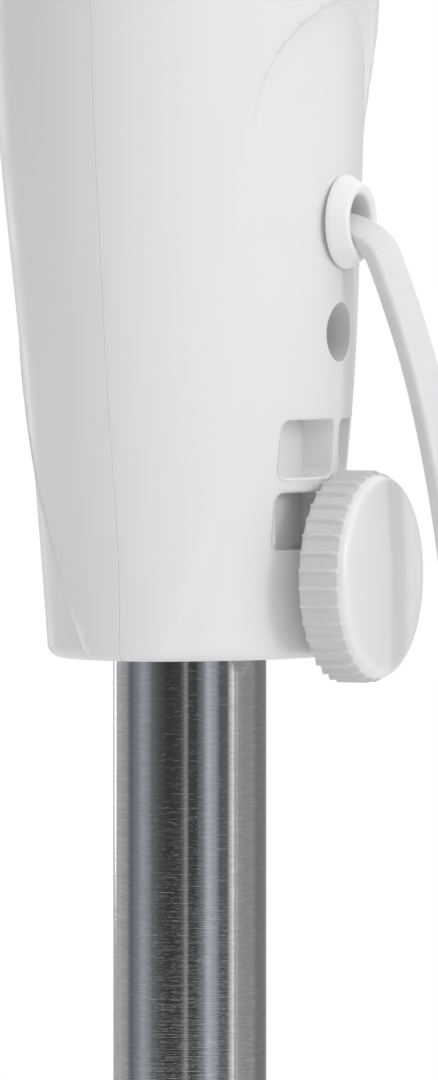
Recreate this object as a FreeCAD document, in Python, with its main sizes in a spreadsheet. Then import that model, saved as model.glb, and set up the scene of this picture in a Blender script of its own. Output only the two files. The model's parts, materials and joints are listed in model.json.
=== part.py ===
"""Pedestal fan with a telescopic chromed pole and a clamped control housing, as a FreeCAD document.

Frame: Z is up, the floor is z = 0 and the pole's axis is X = Y = 0. The fan blows towards -Y, so the
front of the control housing faces -Y, and its clamp knob and mains cord are at the back, at +Y. All
sizes are in millimetres.
"""

import FreeCAD, Part

import math
import os
import re

import Sketcher
from FreeCAD import Placement, Rotation, Vector

DIMENSIONS = [
    # stand
    ("base_radius", 190, "outside radius of the base cover"),
    ("base_skin", 2.5, "wall of the base cover"),
    ("base_crown", 44, "height of the base cover beside the pole socket"),
    ("base_rim", 14, "height of the base cover's shoulder at its edge"),
    ("plate_lift", 5, "underside of the base plate above the floor"),
    ("plate_thick", 2, "steel base plate"),
    ("ballast_radius", 150, "cast iron ballast disc"),
    ("ballast_tall", 12, "thickness of the ballast disc"),
    ("foot_radius", 10, "rubber foot"),
    ("foot_circle", 168, "radius of the circle of feet"),
    ("foot_count", 6, "number of feet"),
    ("socket_radius", 22, "outside of the pole socket"),
    ("socket_top", 96, "top of the pole socket"),
    ("lower_pole_radius", 16, "outside radius of the lower pole"),
    ("lower_pole_bore", 14.7, "inside radius of the lower pole"),
    ("lower_pole_foot", 34, "bottom of the lower pole"),
    ("lower_pole_top", 640, "top of the lower pole"),
    ("bush_bore", 12.7, "inside radius of the guide bush"),
    ("bush_tall", 60, "length of the guide bush inside the lower pole"),
    ("collar_radius", 25, "height collar"),
    ("collar_foot", 618, "bottom of the height collar"),
    ("collar_tall", 46, "length of the height collar"),
    ("collar_ribs", 18, "grip ribs round the height collar"),
    ("pole_radius", 12.6, "outside radius of the chromed upper pole"),
    ("pole_bore", 11.4, "inside radius of the upper pole"),
    ("pole_foot", 330, "lower end of the upper pole, inside the lower pole"),
    ("pole_grip", 116, "length of the upper pole inside the housing"),
    # control housing
    ("housing_foot", 800, "bottom of the control housing"),
    ("housing_tall", 190, "height of the control housing"),
    ("housing_wall", 2.2, "wall of both shells"),
    ("housing_edge", 2.0, "rounding of the housing's bottom edge"),
    ("housing_shoulder", 9.0, "rounding of the housing's top edge"),
    ("seam_half", 0.1, "half of the gap along the parting plane"),
    ("pole_hole", 12.9, "radius of the pole's hole in the housing"),
    ("arch_half", 21.5, "half width of the arched recess at the back"),
    ("arch_spring", 88, "height in the housing at which the arch springs"),
    ("arch_rise", 19.3, "height of the arch above its springing"),
    ("arch_low", 68, "foot of the arched recess above the housing's bottom, where it fades out"),
    ("chin_half", 27.5, "half width of the arch on the lower front"),
    ("chin_rise", 56, "height of the arch on the lower front"),
    ("chin_step", 0.5, "depth of the lower front inside its arch"),
    ("pocket_inner", 1.0, "pockets: half of the rib between the two columns"),
    ("pocket_outer", 13.8, "pockets: outer side"),
    ("pocket_floor", 20.7, "pockets: distance of their floor behind the pole axis"),
    ("pocket_low", 17.9, "lower pockets: bottom"),
    ("pocket_rib", 27.3, "lower pockets: top"),
    ("pocket_high", 29.8, "upper pockets: bottom"),
    ("pocket_top", 39.2, "upper pockets: top"),
    ("screw_rise", 53.4, "rear screw hole above the housing's bottom"),
    ("screw_well", 4.85, "radius of the rear screw hole's well"),
    ("screw_seat", 15.0, "floor of the rear screw hole's well behind the pole axis"),
    # clamp
    ("knob_radius", 16.9, "clamp knob, without its ridges"),
    ("knob_thick", 7.3, "thickness of the clamp knob"),
    ("knob_round", 2.2, "rounding of the clamp knob's face"),
    ("knob_rise", 13.4, "clamp knob's axis above the housing's bottom"),
    ("knob_back", 26.8, "clamp knob's inner face behind the pole axis"),
    ("knob_ridges", 36, "ridges round the clamp knob"),
    ("ridge_tall", 0.45, "height of a ridge"),
    ("ridge_long", 5.6, "length of a ridge along the knob's axis"),
    ("stud_radius", 3.0, "steel stud in the clamp knob"),
    ("stud_tip", 14.9, "tip of the stud behind the pole axis"),
    ("nut_half", 5.0, "half width of the square clamp nut"),
    ("nut_near", 17.2, "near face of the clamp nut"),
    ("nut_thick", 4.8, "thickness of the clamp nut"),
    # mains cord
    ("grommet_rise", 71.5, "grommet's axis above the housing's bottom"),
    ("grommet_radius", 7.75, "outside radius of the grommet"),
    ("grommet_bore", 4.6, "radius of the grommet's hole"),
    ("grommet_neck", 5.6, "radius of the grommet's neck, in the shell's hole"),
    ("grommet_face", 31.0, "outer face of the grommet behind the pole axis"),
    ("grommet_seat", 27.95, "inner face of the grommet's flange"),
    ("cord_width", 5.8, "width of the flat mains cord"),
    ("coil_radius", 33, "middle of the put-away coil's turns"),
    ("coil_place", 252, "centre of the coil behind the pole axis"),
    ("coil_tall", 12, "height of the coil, two turns of the cord on edge"),
    ("coil_half", 4.6, "half of the coil's width, two turns side by side"),
    ("plug_aside", 58, "middle of the plug beside the pole axis"),
    ("plug_wide", 35.3, "two-pin plug across its pins"),
    ("plug_thick", 13.7, "thickness of the plug"),
    ("plug_long", 36, "length of the plug's body"),
    ("pin_radius", 2.0, "plug pins"),
    ("pin_long", 19, "length of the plug pins"),
    ("pin_pitch", 19, "spacing of the plug pins"),
    # buttons
    ("button_count", 4, "speed buttons: off and three speeds"),
    ("button_pitch", 12.5, "spacing of the buttons"),
    ("button_wide", 10.5, "width of a button"),
    ("button_tall", 20, "height of a button"),
    ("button_rise", 141, "buttons' middle above the housing's bottom"),
    ("bezel_half", 29, "half width of the button bezel"),
    ("bezel_tall", 50, "height of the button bezel"),
    ("bezel_face", 32.5, "front of the bezel before the pole axis"),
    ("button_proud", 3.4, "how far a button stands out of the bezel"),
    # head
    ("post_radius", 8, "neck post, the oscillation axis"),
    ("neck_radius", 26, "bottom of the neck"),
    ("tilt_height", 1050, "height of the tilt axis"),
    ("motor_height", 1134, "height of the motor axis"),
    ("motor_radius", 62, "outside of the motor cover"),
    ("motor_front", 26, "motor's front plate before the pole axis"),
    ("motor_rear", 118, "end of the motor cover behind the pole axis"),
    ("shaft_radius", 4, "motor shaft"),
    ("wheel_radius", 5.5, "worm wheel that drives the swing"),
    ("swing_aside", 9.7, "swing knob's axis beside the motor shaft"),
    ("swing_behind", 72, "swing knob's axis behind the pole axis"),
    ("guard_radius", 214, "guard's rim"),
    ("guard_plane", 106, "guard's rim before the pole axis"),
    ("guard_front", 172, "guard's front before the pole axis"),
    ("guard_back", 46, "guard's back before the pole axis"),
    ("guard_bend", 3, "how far the guards' faces fall away at their middle rings"),
    ("wire_radius", 1.1, "guard wires"),
    ("ring_radius", 1.9, "guard rings"),
    ("wire_count", 60, "radial wires in each guard"),
    ("blade_radius", 192, "fan blade"),
    ("blade_count", 5, "blades"),
    ("hub_radius", 36, "hub of the fan blade"),
]

# Height above the housing's bottom, half width, depth to the front, depth to the back, and how far the
# back stands out past that outside the arched recess.
HOUSING_SECTIONS = [
    (0, 28.2, 22.1, 25.0, 0.0),
    (15, 28.5, 23.4, 25.7, 0.0),
    (40, 32.4, 24.9, 27.0, 0.0),
    (65, 35.6, 27.1, 27.6, 0.2),
    (88, 38.3, 29.1, 27.9, 1.6),
    (110, 39.9, 29.9, 28.0, 2.9),
    (150, 42.0, 30.6, 28.1, 3.2),
    (190, 42.6, 31.1, 28.1, 3.2),
]
FRONT_SQUARENESS = 2.15  # exponent of the front half of the housing's superellipse sections
BACK_SQUARENESS = 1.75  # the same for the back half
RING_POINTS = 48  # points round one section
RIB_RISES = (5.5, 45, 80, 112)  # bottoms of the cross walls above the housing's bottom
RIB_THICK = 2
PLAY = 0.1  # gap between pieces that only touch

DOC = FreeCAD.newDocument("pedestal_fan")
SHEET = DOC.addObject("Spreadsheet::Sheet", "Dims")
PARTS = []


def fill_sheet():
    """Writes every driving dimension to the sheet, one row each, with its alias."""
    for row, (alias, value, meaning) in enumerate(DIMENSIONS, start=1):
        SHEET.set(f"A{row}", meaning)
        SHEET.set(f"B{row}", str(value))
        SHEET.setAlias(f"B{row}", alias)
    DOC.recompute()


def dim(alias):
    """A driving dimension, read back from the sheet."""
    return float(SHEET.get(alias))


def cells(expression):
    """An expression in aliases, such as "base_radius - 2", as FreeCAD writes it."""
    return re.sub(r"[a-z]+_[a-z_]+", lambda found: "Dims." + found.group(), expression)


def bind(thing, **expressions):
    for name, expression in expressions.items():
        thing.setExpression(name, cells(expression))
    return thing


def put(thing, place, along="Z"):
    """Places an object at three expressions, with its own Z axis turned along Z, Y or X."""
    turn = {"Z": Rotation(), "Y": Rotation(Vector(1, 0, 0), -90), "X": Rotation(Vector(0, 1, 0), 90)}[along]
    thing.Placement = Placement(Vector(), turn)
    for letter, expression in zip("xyz", place):
        thing.setExpression(f"Placement.Base.{letter}", cells(expression))
    return thing


def keep(thing, label):
    """Marks an object as a sub-part, with the label that names its file."""
    thing.Label = label
    PARTS.append(thing)
    return thing


def box(name, size, corner):
    solid = DOC.addObject("Part::Box", name)
    bind(solid, Length=size[0], Width=size[1], Height=size[2])
    return put(solid, corner)


def cylinder(name, radius, height, foot, along="Z"):
    solid = DOC.addObject("Part::Cylinder", name)
    bind(solid, Radius=radius, Height=height)
    return put(solid, foot, along)


def fused(name, *shapes):
    solid = DOC.addObject("Part::MultiFuse", name)
    solid.Shapes = list(shapes)
    return solid


def cut(name, base, *tools):
    solid = DOC.addObject("Part::Cut", name)
    solid.Base = base
    solid.Tool = tools[0] if len(tools) == 1 else fused(name + "_tools", *tools)
    return solid


def group(name, *solids):
    """Separate solids that share one node."""
    together = DOC.addObject("Part::Compound", name)
    together.Links = list(solids)
    return together


def feature(name, shape, place=None):
    """A Part::Feature, for a shape that neither PartDesign nor the primitives make."""
    solid = DOC.addObject("Part::Feature", name)
    solid.Shape = shape
    if place:
        solid.Placement = place
    return solid


def origin_plane(body, role):
    return next(item for item in body.Origin.OriginFeatures if item.Role == role)


def new_sketch(body, name, plane):
    sketch = body.newObject("Sketcher::SketchObject", name)
    sketch.AttachmentSupport = (origin_plane(body, plane), "")
    sketch.MapMode = "FlatFace"
    return sketch


def draw_outline(sketch, outline):
    """Closed outline of straight lines whose corners are pairs of expressions, each bound to the sheet."""
    count = len(outline)
    corners = [Vector(10 + 3 * i, 10 + (7 * i) % 11, 0) for i in range(count)]
    for i in range(count):
        sketch.addGeometry(Part.LineSegment(corners[i], corners[(i + 1) % count]), False)
    for i in range(count):
        sketch.addConstraint(Sketcher.Constraint("Coincident", i, 2, (i + 1) % count, 1))
    for i, corner in enumerate(outline):
        for kind, expression in zip(("DistanceX", "DistanceY"), corner):
            index = sketch.addConstraint(Sketcher.Constraint(kind, -1, 1, i, 1, 10.0))
            sketch.setExpression(f"Constraints[{index}]", cells(expression))


def draw_circle(sketch, radius):
    sketch.addGeometry(Part.Circle(Vector(), Vector(0, 0, 1), 10), False)
    sketch.addConstraint(Sketcher.Constraint("Coincident", 0, 3, -1, 1))
    index = sketch.addConstraint(Sketcher.Constraint("Radius", 0, 10.0))
    sketch.setExpression(f"Constraints[{index}]", cells(radius))


def turned(name, outline, place=("0", "0", "0"), along="Z"):
    """A turned piece: an outline of (radius, height) expressions, revolved about its own Z axis."""
    body = DOC.addObject("PartDesign::Body", name)
    sketch = new_sketch(body, name + "_profile", "XZ_Plane")
    draw_outline(sketch, outline)
    revolution = body.newObject("PartDesign::Revolution", name + "_turn")
    revolution.Profile = sketch
    revolution.ReferenceAxis = (sketch, ["V_Axis"])
    revolution.Angle = 360
    sketch.Visibility = False
    return put(body, place, along)


def knurled(name, radius, thickness, rounding, ridge, count, place, along):
    """A knurled knob: a padded disc with a rounded face and a polar pattern of ridges.

    ridge is (half width, height, length) as expressions, and the ridges start at the disc's back.
    """
    body = DOC.addObject("PartDesign::Body", name)
    disc = new_sketch(body, name + "_disc", "XY_Plane")
    draw_circle(disc, radius)
    pad = body.newObject("PartDesign::Pad", name + "_pad")
    pad.Profile = disc
    bind(pad, Length=thickness)
    DOC.recompute()
    top = pad.Shape.BoundBox.ZMax
    rim = [i + 1 for i, edge in enumerate(pad.Shape.Edges) if edge.BoundBox.ZMin > top - 0.01]
    face = body.newObject("PartDesign::Fillet", name + "_face")
    face.Base = (pad, [f"Edge{i}" for i in rim])
    bind(face, Radius=rounding)
    DOC.recompute()
    strip = new_sketch(body, name + "_ridge_outline", "XY_Plane")
    half, tall, long = ridge
    root, crest = f"{radius} - 1", f"{radius} + {tall}"
    draw_outline(
        strip,
        [(root, f"-1 * {half}"), (crest, f"-0.4 * {half}"), (crest, f"0.4 * {half}"), (root, half)],
    )
    raised = body.newObject("PartDesign::Pad", name + "_ridge")
    raised.Profile = strip
    bind(raised, Length=long)
    DOC.recompute()
    pattern = body.newObject("PartDesign::PolarPattern", name + "_ridges")
    pattern.Originals = [raised]
    pattern.Axis = (disc, ["N_Axis"])
    pattern.Angle = 360
    bind(pattern, Occurrences=count)
    body.Tip = pattern
    return put(body, place, along)


# ---------------------------------------------------------------- stand


def make_stand():
    """Base, ballast, feet, socket and the lower pole with its bush."""
    keep(
        turned(
            "base_cover",
            [
                ("socket_radius + 0.4", "base_crown"),
                ("socket_radius + 26", "base_crown - 3"),
                ("base_radius * 0.55", "base_crown - 12"),
                ("base_radius - 12", "base_rim + 4"),
                ("base_radius - 3", "base_rim"),
                ("base_radius", "base_rim - 4"),
                ("base_radius", "plate_lift"),
                ("base_radius - base_skin", "plate_lift"),
                ("base_radius - base_skin", "base_rim - 5"),
                ("base_radius - 4 - base_skin", "base_rim - base_skin"),
                ("base_radius - 13", "base_rim + 4 - base_skin"),
                ("base_radius * 0.55 - 1", "base_crown - 12 - base_skin"),
                ("socket_radius + 25", "base_crown - 3 - base_skin"),
                ("socket_radius + 0.4", "base_crown - base_skin"),
            ],
        ),
        "base_cover",
    )
    keep(
        turned(
            "base_plate",
            [
                ("6.2", "plate_lift"),
                ("base_radius - base_skin - 0.4", "plate_lift"),
                ("base_radius - base_skin - 0.4", "plate_lift + plate_thick"),
                ("6.2", "plate_lift + plate_thick"),
            ],
        ),
        "base_plate",
    )
    ballast_foot = "plate_lift + plate_thick"
    keep(
        turned(
            "ballast",
            [
                ("socket_radius + 8", ballast_foot),
                ("ballast_radius", ballast_foot),
                ("ballast_radius", f"{ballast_foot} + ballast_tall - 3"),
                ("ballast_radius - 3", f"{ballast_foot} + ballast_tall"),
                ("socket_radius + 8", f"{ballast_foot} + ballast_tall"),
            ],
        ),
        "ballast",
    )
    feet = []
    for i in range(int(dim("foot_count"))):
        turn = 2 * math.pi * (i + 0.5) / dim("foot_count")
        place = (f"foot_circle * {math.cos(turn):.6f}", f"foot_circle * {math.sin(turn):.6f}", "0")
        feet.append(cylinder(f"foot_{i}", "foot_radius", "plate_lift", place))
    pad = cylinder("centre_pad_blank", "16", "plate_lift", ("0", "0", "0"))
    room = cylinder("centre_pad_room", "11.2", "plate_lift", ("0", "0", "1"))
    keep(group("rubber_feet", cut("centre_pad", pad, room), *feet), "rubber_feet")
    keep(
        turned(
            "pole_socket",
            [
                ("6.2", ballast_foot),
                ("socket_radius + 7", ballast_foot),
                ("socket_radius + 7", f"{ballast_foot} + 5"),
                ("socket_radius", f"{ballast_foot} + 7"),
                ("socket_radius", "socket_top - 2"),
                ("socket_radius - 2", "socket_top"),
                ("lower_pole_radius + 0.1", "socket_top"),
                ("lower_pole_radius + 0.1", "lower_pole_foot"),
                ("6.2", "lower_pole_foot"),
            ],
        ),
        "pole_socket",
    )
    shank = cylinder("base_bolt_shank", "6", "34", ("0", "0", "2.6"))
    head = cylinder("base_bolt_head", "11", "3.4", ("0", "0", "1.4"))
    keep(fused("base_bolt", shank, head), "base_bolt")
    keep(
        turned(
            "lower_pole",
            [
                ("lower_pole_bore", "lower_pole_foot"),
                ("lower_pole_radius", "lower_pole_foot"),
                ("lower_pole_radius", "lower_pole_top"),
                ("lower_pole_bore", "lower_pole_top"),
            ],
        ),
        "lower_pole",
    )
    keep(
        turned(
            "guide_bush",
            [
                ("bush_bore", "lower_pole_top - bush_tall"),
                ("lower_pole_bore - 0.05", "lower_pole_top - bush_tall"),
                ("lower_pole_bore - 0.05", "lower_pole_top + 0.1"),
                ("lower_pole_radius + 1", "lower_pole_top + 0.1"),
                ("lower_pole_radius + 1", "lower_pole_top + 2"),
                ("bush_bore + 1.8", "lower_pole_top + 16"),
                ("bush_bore", "lower_pole_top + 16"),
            ],
        ),
        "guide_bush",
    )


def make_collar():
    """The ring nut that squeezes the bush on the upper pole."""
    blank = turned(
        "collar_blank",
        [
            ("lower_pole_radius + 0.3", "collar_foot"),
            ("collar_radius - 2", "collar_foot"),
            ("collar_radius", "collar_foot + 3"),
            ("collar_radius", "collar_foot + collar_tall - 10"),
            ("collar_radius - 5", "collar_foot + collar_tall"),
            ("pole_radius + 0.8", "collar_foot + collar_tall"),
            ("pole_radius + 0.8", "collar_foot + collar_tall - 4"),
            ("bush_bore + 3.6", "collar_foot + collar_tall - 7"),
            ("lower_pole_radius + 1.6", "lower_pole_top + 3.5"),
            ("lower_pole_radius + 1.6", "lower_pole_top - 1"),
            ("lower_pole_radius + 0.3", "lower_pole_top - 1"),
        ],
    )
    ribs = []
    count = int(dim("collar_ribs"))
    for i in range(count):
        turn = 2 * math.pi * i / count
        aside, behind = f"collar_radius * {math.cos(turn):.6f}", f"collar_radius * {math.sin(turn):.6f}"
        rib = cylinder(f"collar_rib_{i}", "1.1", "collar_tall - 18", (aside, behind, "collar_foot + 5"))
        ribs.append(rib)
    keep(fused("height_collar", blank, *ribs), "height_collar")


# ---------------------------------------------------------------- control housing


def signed_power(value, power):
    return math.copysign(abs(value) ** power, value)


def housing_ring(rise, half_width, front, back, inset):
    """Closed curve round the housing at one height: a superellipse with its own depth to each side."""
    points = []
    for step in range(RING_POINTS):
        turn = 2 * math.pi * step / RING_POINTS
        behind = math.sin(turn) > 0
        depth = back if behind else front
        power = 2 / (BACK_SQUARENESS if behind else FRONT_SQUARENESS)
        x = (half_width - inset) * signed_power(math.cos(turn), power)
        y = (depth - inset) * signed_power(math.sin(turn), power)
        points.append(Vector(x, y, dim("housing_foot") + rise))
    curve = Part.BSplineCurve()
    curve.interpolate(Points=points, PeriodicFlag=True)
    return Part.Wire([curve.toShape()])


def housing_solid(inset=0.0, flare=1.0):
    """The housing's outside as a solid, moved in by inset; flare 0 carries the recessed back on up."""
    rings = []
    for rise, half_width, front, back, proud in HOUSING_SECTIONS:
        rings.append(housing_ring(rise, half_width, front, back + flare * proud, inset))
    return Part.makeLoft(rings, True, False)


def slab(x0, x1, y0, y1, z0, z1):
    """A plain block whose heights are counted from the housing's bottom."""
    corner = Vector(x0, y0, dim("housing_foot") + z0)
    return Part.makeBox(x1 - x0, y1 - y0, z1 - z0, corner)


def soft_slab(x0, x1, y0, y1, z0, z1, radius):
    """The same block with its edges along Y rounded."""
    block = slab(x0, x1, y0, y1, z0, z1)
    along_y = [e for e in block.Edges if abs(e.tangentAt(e.FirstParameter).y) > 0.9]
    return block.makeFillet(radius, along_y)


def rod(radius, y0, y1, rise, x=0.0):
    """A round bar along Y at a height above the housing's bottom."""
    start = Vector(x, y0, dim("housing_foot") + rise)
    return Part.makeCylinder(radius, y1 - y0, start, Vector(0, 1, 0))


def arch_prism(half, spring, rise, low, y0, y1):
    """A bar along Y whose section is an arch: straight legs down to low and half an ellipse on top."""
    foot = dim("housing_foot")
    middle = Vector(0, y0, foot + spring)
    side, top = middle + Vector(half, 0, 0), middle + Vector(0, 0, rise)
    oval = Part.Ellipse(top, side, middle) if rise >= half else Part.Ellipse(side, top, middle)
    full = Part.Face(Part.Wire([oval.toShape()])).extrude(Vector(0, y1 - y0, 0))
    crown = full.common(slab(-2 * half, 2 * half, y0 - 1, y1 + 1, spring, spring + 2 * rise))
    if low >= spring:
        return crown
    return crown.fuse(slab(-half, half, y0, y1, low, spring))


def bottom_edges(solid, height):
    return [e for e in solid.Edges if e.BoundBox.ZMax < height + 0.01 and e.BoundBox.ZMin > height - 0.01]


def housing_body():
    """The whole housing as a solid: rounded ends, arched recess at the back, stepped arch at the front."""
    foot, tall = dim("housing_foot"), dim("housing_tall")
    solid = housing_solid()
    solid = solid.makeFillet(dim("housing_shoulder"), bottom_edges(solid, foot + tall))
    solid = solid.makeFillet(dim("housing_edge"), bottom_edges(solid, foot))
    spring = dim("arch_spring")
    arch = arch_prism(dim("arch_half"), spring, dim("arch_rise"), dim("arch_low"), 15, 60)
    solid = solid.cut(arch.cut(housing_solid(flare=0.0)))
    edge = dim("housing_edge") + 0.5
    chin = arch_prism(dim("chin_half"), edge, dim("chin_rise") - edge, edge, -60, -3)
    return solid.cut(chin.cut(housing_solid(inset=dim("chin_step"))))


def pole_ribs(cavity, y0, y1):
    """Cross walls that hold the pole between the two shells."""
    bore = Part.makeCylinder(dim("pole_radius") + 0.15, 400, Vector(0, 0, dim("housing_foot") - 50))
    ribs = None
    for rise in RIB_RISES:
        wall = slab(-60, 60, y0, y1, rise, rise + RIB_THICK).common(cavity)
        ribs = wall if ribs is None else ribs.fuse(wall)
    return ribs.cut(bore)


def make_shells():
    """Front and rear shell of the control housing."""
    wall, gap, foot = dim("housing_wall"), dim("seam_half"), dim("housing_foot")
    tall = dim("housing_tall")
    body = housing_body()
    cavity = housing_solid(inset=wall, flare=0.9)
    cavity = cavity.common(slab(-60, 60, -60, 60, wall, tall - wall))
    reach = housing_solid(inset=wall - 0.3, flare=0.9)
    hole = Part.makeCylinder(dim("pole_hole"), 20, Vector(0, 0, foot - 10))
    neck_hole = Part.makeCylinder(dim("post_radius") + 1, 20, Vector(0, 0, foot + tall - 10))
    rear = body.cut(cavity).common(slab(-60, 60, gap, 60, -5, tall + 5))
    block = slab(-17, 17, dim("pocket_floor") - wall, 30, 16.4, dim("pocket_top") + 2).common(body)
    boss = slab(-9, 9, 13.4, 30, 7.4, 17.4).common(body)
    well = rod(dim("screw_well") + 1.8, 3.0, 40, dim("screw_rise")).common(body)
    pole_room = Part.makeCylinder(dim("pole_radius") + 0.15, 400, Vector(0, 0, foot - 50))
    rear = rear.fuse([block, boss, well, pole_ribs(reach, gap, 60)]).cut(pole_room)
    tools = []
    for side in (-1, 1):
        x0, x1 = sorted((side * dim("pocket_inner"), side * dim("pocket_outer")))
        for low, high in (("pocket_low", "pocket_rib"), ("pocket_high", "pocket_top")):
            tools.append(soft_slab(x0, x1, dim("pocket_floor"), 60, dim(low), dim(high), 1.6))
    tools.append(rod(dim("screw_well"), dim("screw_seat"), 60, dim("screw_rise")))
    tools.append(rod(1.7, -5, 20, dim("screw_rise")))
    tools.append(rod(dim("grommet_neck") + 0.15, 5, 60, dim("grommet_rise")))
    tools.append(rod(dim("stud_radius") + 0.3, 5, 60, dim("knob_rise")))
    tools.append(rod(4.4, 5, dim("nut_near"), dim("knob_rise")))
    room = dim("nut_half") + 0.2
    tools.append(slab(-room, room, dim("nut_near") - 0.2, dim("nut_near") + dim("nut_thick") + 0.2, 2, 19))
    rear = rear.cut([*tools, neck_hole, hole])
    keep(feature("rear_shell", rear), "rear_shell")

    front = body.cut(cavity).common(slab(-60, 60, -60, -gap, -5, tall + 5))
    front = front.fuse(pole_ribs(reach, -60, -gap))
    half, tall_panel, rise = dim("bezel_half") - 2, dim("bezel_tall") - 4, dim("button_rise")
    window = soft_slab(-half, half, -60, -20, rise - tall_panel / 2, rise + tall_panel / 2, 3)
    lamp = rod(2.2, -60, -20, rise - tall_panel / 2 - 9)
    front = front.cut([window, lamp, hole, neck_hole])
    keep(feature("front_shell", front), "front_shell")


def make_screws():
    """Self-tapping screws that hold the shells together, in the rear shell's well and its top corners."""
    screws = []
    places = (("0", "screw_rise", "screw_seat + 0.1"), ("-24", "160", "18"), ("24", "160", "18"))
    for i, (x, rise, head) in enumerate(places):
        height = f"housing_foot + {rise}"
        shank = cylinder(f"shell_screw_shank_{i}", "1.5", "6.3", (x, f"{head} - 6.2", height), "Y")
        crown = cylinder(f"shell_screw_crown_{i}", "3.1", "2", (x, head, height), "Y")
        screws.append(fused(f"shell_screw_{i}", shank, crown))
    keep(group("shell_screws", *screws), "shell_screws")


def make_clamp():
    """Thumb knob with its stud, the captured nut and the pad that presses on the pole."""
    centre = "housing_foot + knob_rise"
    knob = knurled(
        "knob_blank",
        "knob_radius",
        "knob_thick",
        "knob_round",
        ("0.55", "ridge_tall", "ridge_long"),
        "knob_ridges",
        ("0", "knob_back", centre),
        "Y",
    )
    bore = cylinder("knob_bore", "stud_radius", "5", ("0", "knob_back - 1", centre), "Y")
    keep(cut("clamp_knob", knob, bore), "clamp_knob")
    tip = ("0", "stud_tip", centre)
    keep(cylinder("clamp_stud", "stud_radius", "knob_back + 4 - stud_tip", tip, "Y"), "clamp_stud")
    pole_face = f"pole_radius + {PLAY}"
    pad_long = f"stud_tip - {PLAY} - ({pole_face})"
    keep(cylinder("clamp_pad", "4", pad_long, ("0", pole_face, centre), "Y"), "clamp_pad")
    nut = box(
        "nut_blank",
        ("2 * nut_half", "nut_thick", "2 * nut_half"),
        ("-1 * nut_half", "nut_near", f"{centre} - nut_half"),
    )
    thread = cylinder("nut_thread", "stud_radius + 0.05", "nut_thick + 2", ("0", "nut_near - 1", centre), "Y")
    keep(cut("clamp_nut", nut, thread), "clamp_nut")


def make_cord_entry():
    """Grommet in the rear shell and the grip that holds the cord inside it."""
    centre = "housing_foot + grommet_rise"
    keep(
        turned(
            "cord_grommet",
            [
                ("grommet_bore", "16.5"),
                ("grommet_neck", "16.5"),
                ("grommet_neck", "grommet_seat"),
                ("grommet_radius", "grommet_seat"),
                ("grommet_radius", "grommet_seat + 0.6"),
                ("grommet_radius - 1.5", "grommet_face - 0.5"),
                ("grommet_radius - 2.1", "grommet_face"),
                ("grommet_bore + 0.8", "grommet_face"),
                ("grommet_bore", "grommet_face - 1.5"),
            ],
            ("0", "0", centre),
            "Y",
        ),
        "cord_grommet",
    )
    body = box("grip_block", ("9", "3", "14"), ("-4.5", "13.2", f"{centre} - 7"))
    bore = cylinder("grip_bore", "cord_width / 2 + 0.2", "6", ("0", "12", centre), "Y")
    keep(cut("cord_grip", body, bore), "cord_grip")


def make_buttons():
    """Bezel, speed buttons, switch block and pilot lens."""
    panel = slab(
        -dim("bezel_half"),
        dim("bezel_half"),
        -dim("bezel_face"),
        -21,
        dim("button_rise") - dim("bezel_tall") / 2,
        dim("button_rise") + dim("bezel_tall") / 2,
    )
    upright = [e for e in panel.Edges if abs(e.tangentAt(e.FirstParameter).y) > 0.9]
    panel = panel.makeFillet(4, upright)
    rim = [e for e in panel.Edges if e.BoundBox.YMax < -dim("bezel_face") + 0.01]
    panel = panel.makeFillet(1.2, rim)
    gap = 0.3
    buttons = []
    count = int(dim("button_count"))
    wide, tall = dim("button_wide"), dim("button_tall")
    for i in range(count):
        x = (i - (count - 1) / 2) * dim("button_pitch")
        low, high = dim("button_rise") - tall / 2, dim("button_rise") + tall / 2
        front = -dim("bezel_face") - dim("button_proud")
        panel = panel.cut(
            soft_slab(x - wide / 2 - gap, x + wide / 2 + gap, -60, 0, low - gap, high + gap, 1.6)
        )
        key = soft_slab(x - wide / 2, x + wide / 2, front, -24.5, low, high, 1.4)
        rim = [e for e in key.Edges if e.BoundBox.YMax < front + 0.01]
        buttons.append(key.makeFillet(0.8, rim))
    half = dim("bezel_half")
    rise, tall_panel = dim("button_rise"), dim("bezel_tall")
    low, high = rise - tall_panel / 2, rise + tall_panel / 2
    inside = soft_slab(2.4 - half, half - 2.4, -26, 0, low + 2.4, high - 2.4, 2)
    keyhole_walls = slab(-26.2, 26.2, -30, 0, rise - 12, rise + 12)
    panel = panel.cut(inside.cut(keyhole_walls)).cut(slab(-60, 60, -24.6, 0, 100, 190))
    outside = panel.cut(panel.common(housing_solid()))
    through_window = panel.common(soft_slab(2.2 - half, half - 2.2, -60, 0, low + 2.2, high - 2.2, 2.8))
    keep(feature("button_bezel", outside.fuse(through_window)), "button_bezel")
    for i, key in enumerate(buttons):
        keep(feature(f"button_{i}", key), f"button_{i}")
    base = slab(-26, 26, -20.2, -9, rise - 15, rise + 15)
    plungers = [slab(x - 2, x + 2, -20.4, -20.2, rise - 3, rise + 3) for x in (-18.75, -6.25, 6.25, 18.75)]
    keep(feature("switch_block", base.fuse(plungers)), "switch_block")
    lamp_rise = f"housing_foot + button_rise - {(tall_panel - 4) / 2 + 9}"
    lens = cylinder("pilot_stem", "2.05", "8", ("0", "-30.6", lamp_rise), "Y")
    keep(lens, "pilot_lens")


def make_electrics():
    """Terminal block, run capacitor and wiring inside the housing."""
    keep(box("terminal_block", ("26", "9", "11"), ("-13", "-24", "housing_foot + 88")), "terminal_block")
    keep(box("capacitor", ("34", "15", "24"), ("-17", "4", "housing_foot + 128")), "capacitor")
    wires = []
    foot = dim("housing_foot")
    for x in (-9, -3, 3, 9):
        wires.append(Part.makeCylinder(1.1, 12.5, Vector(x, -17, foot + 99.2)))
    keep(feature("wiring", Part.makeCompound(wires)), "wiring")


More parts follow.
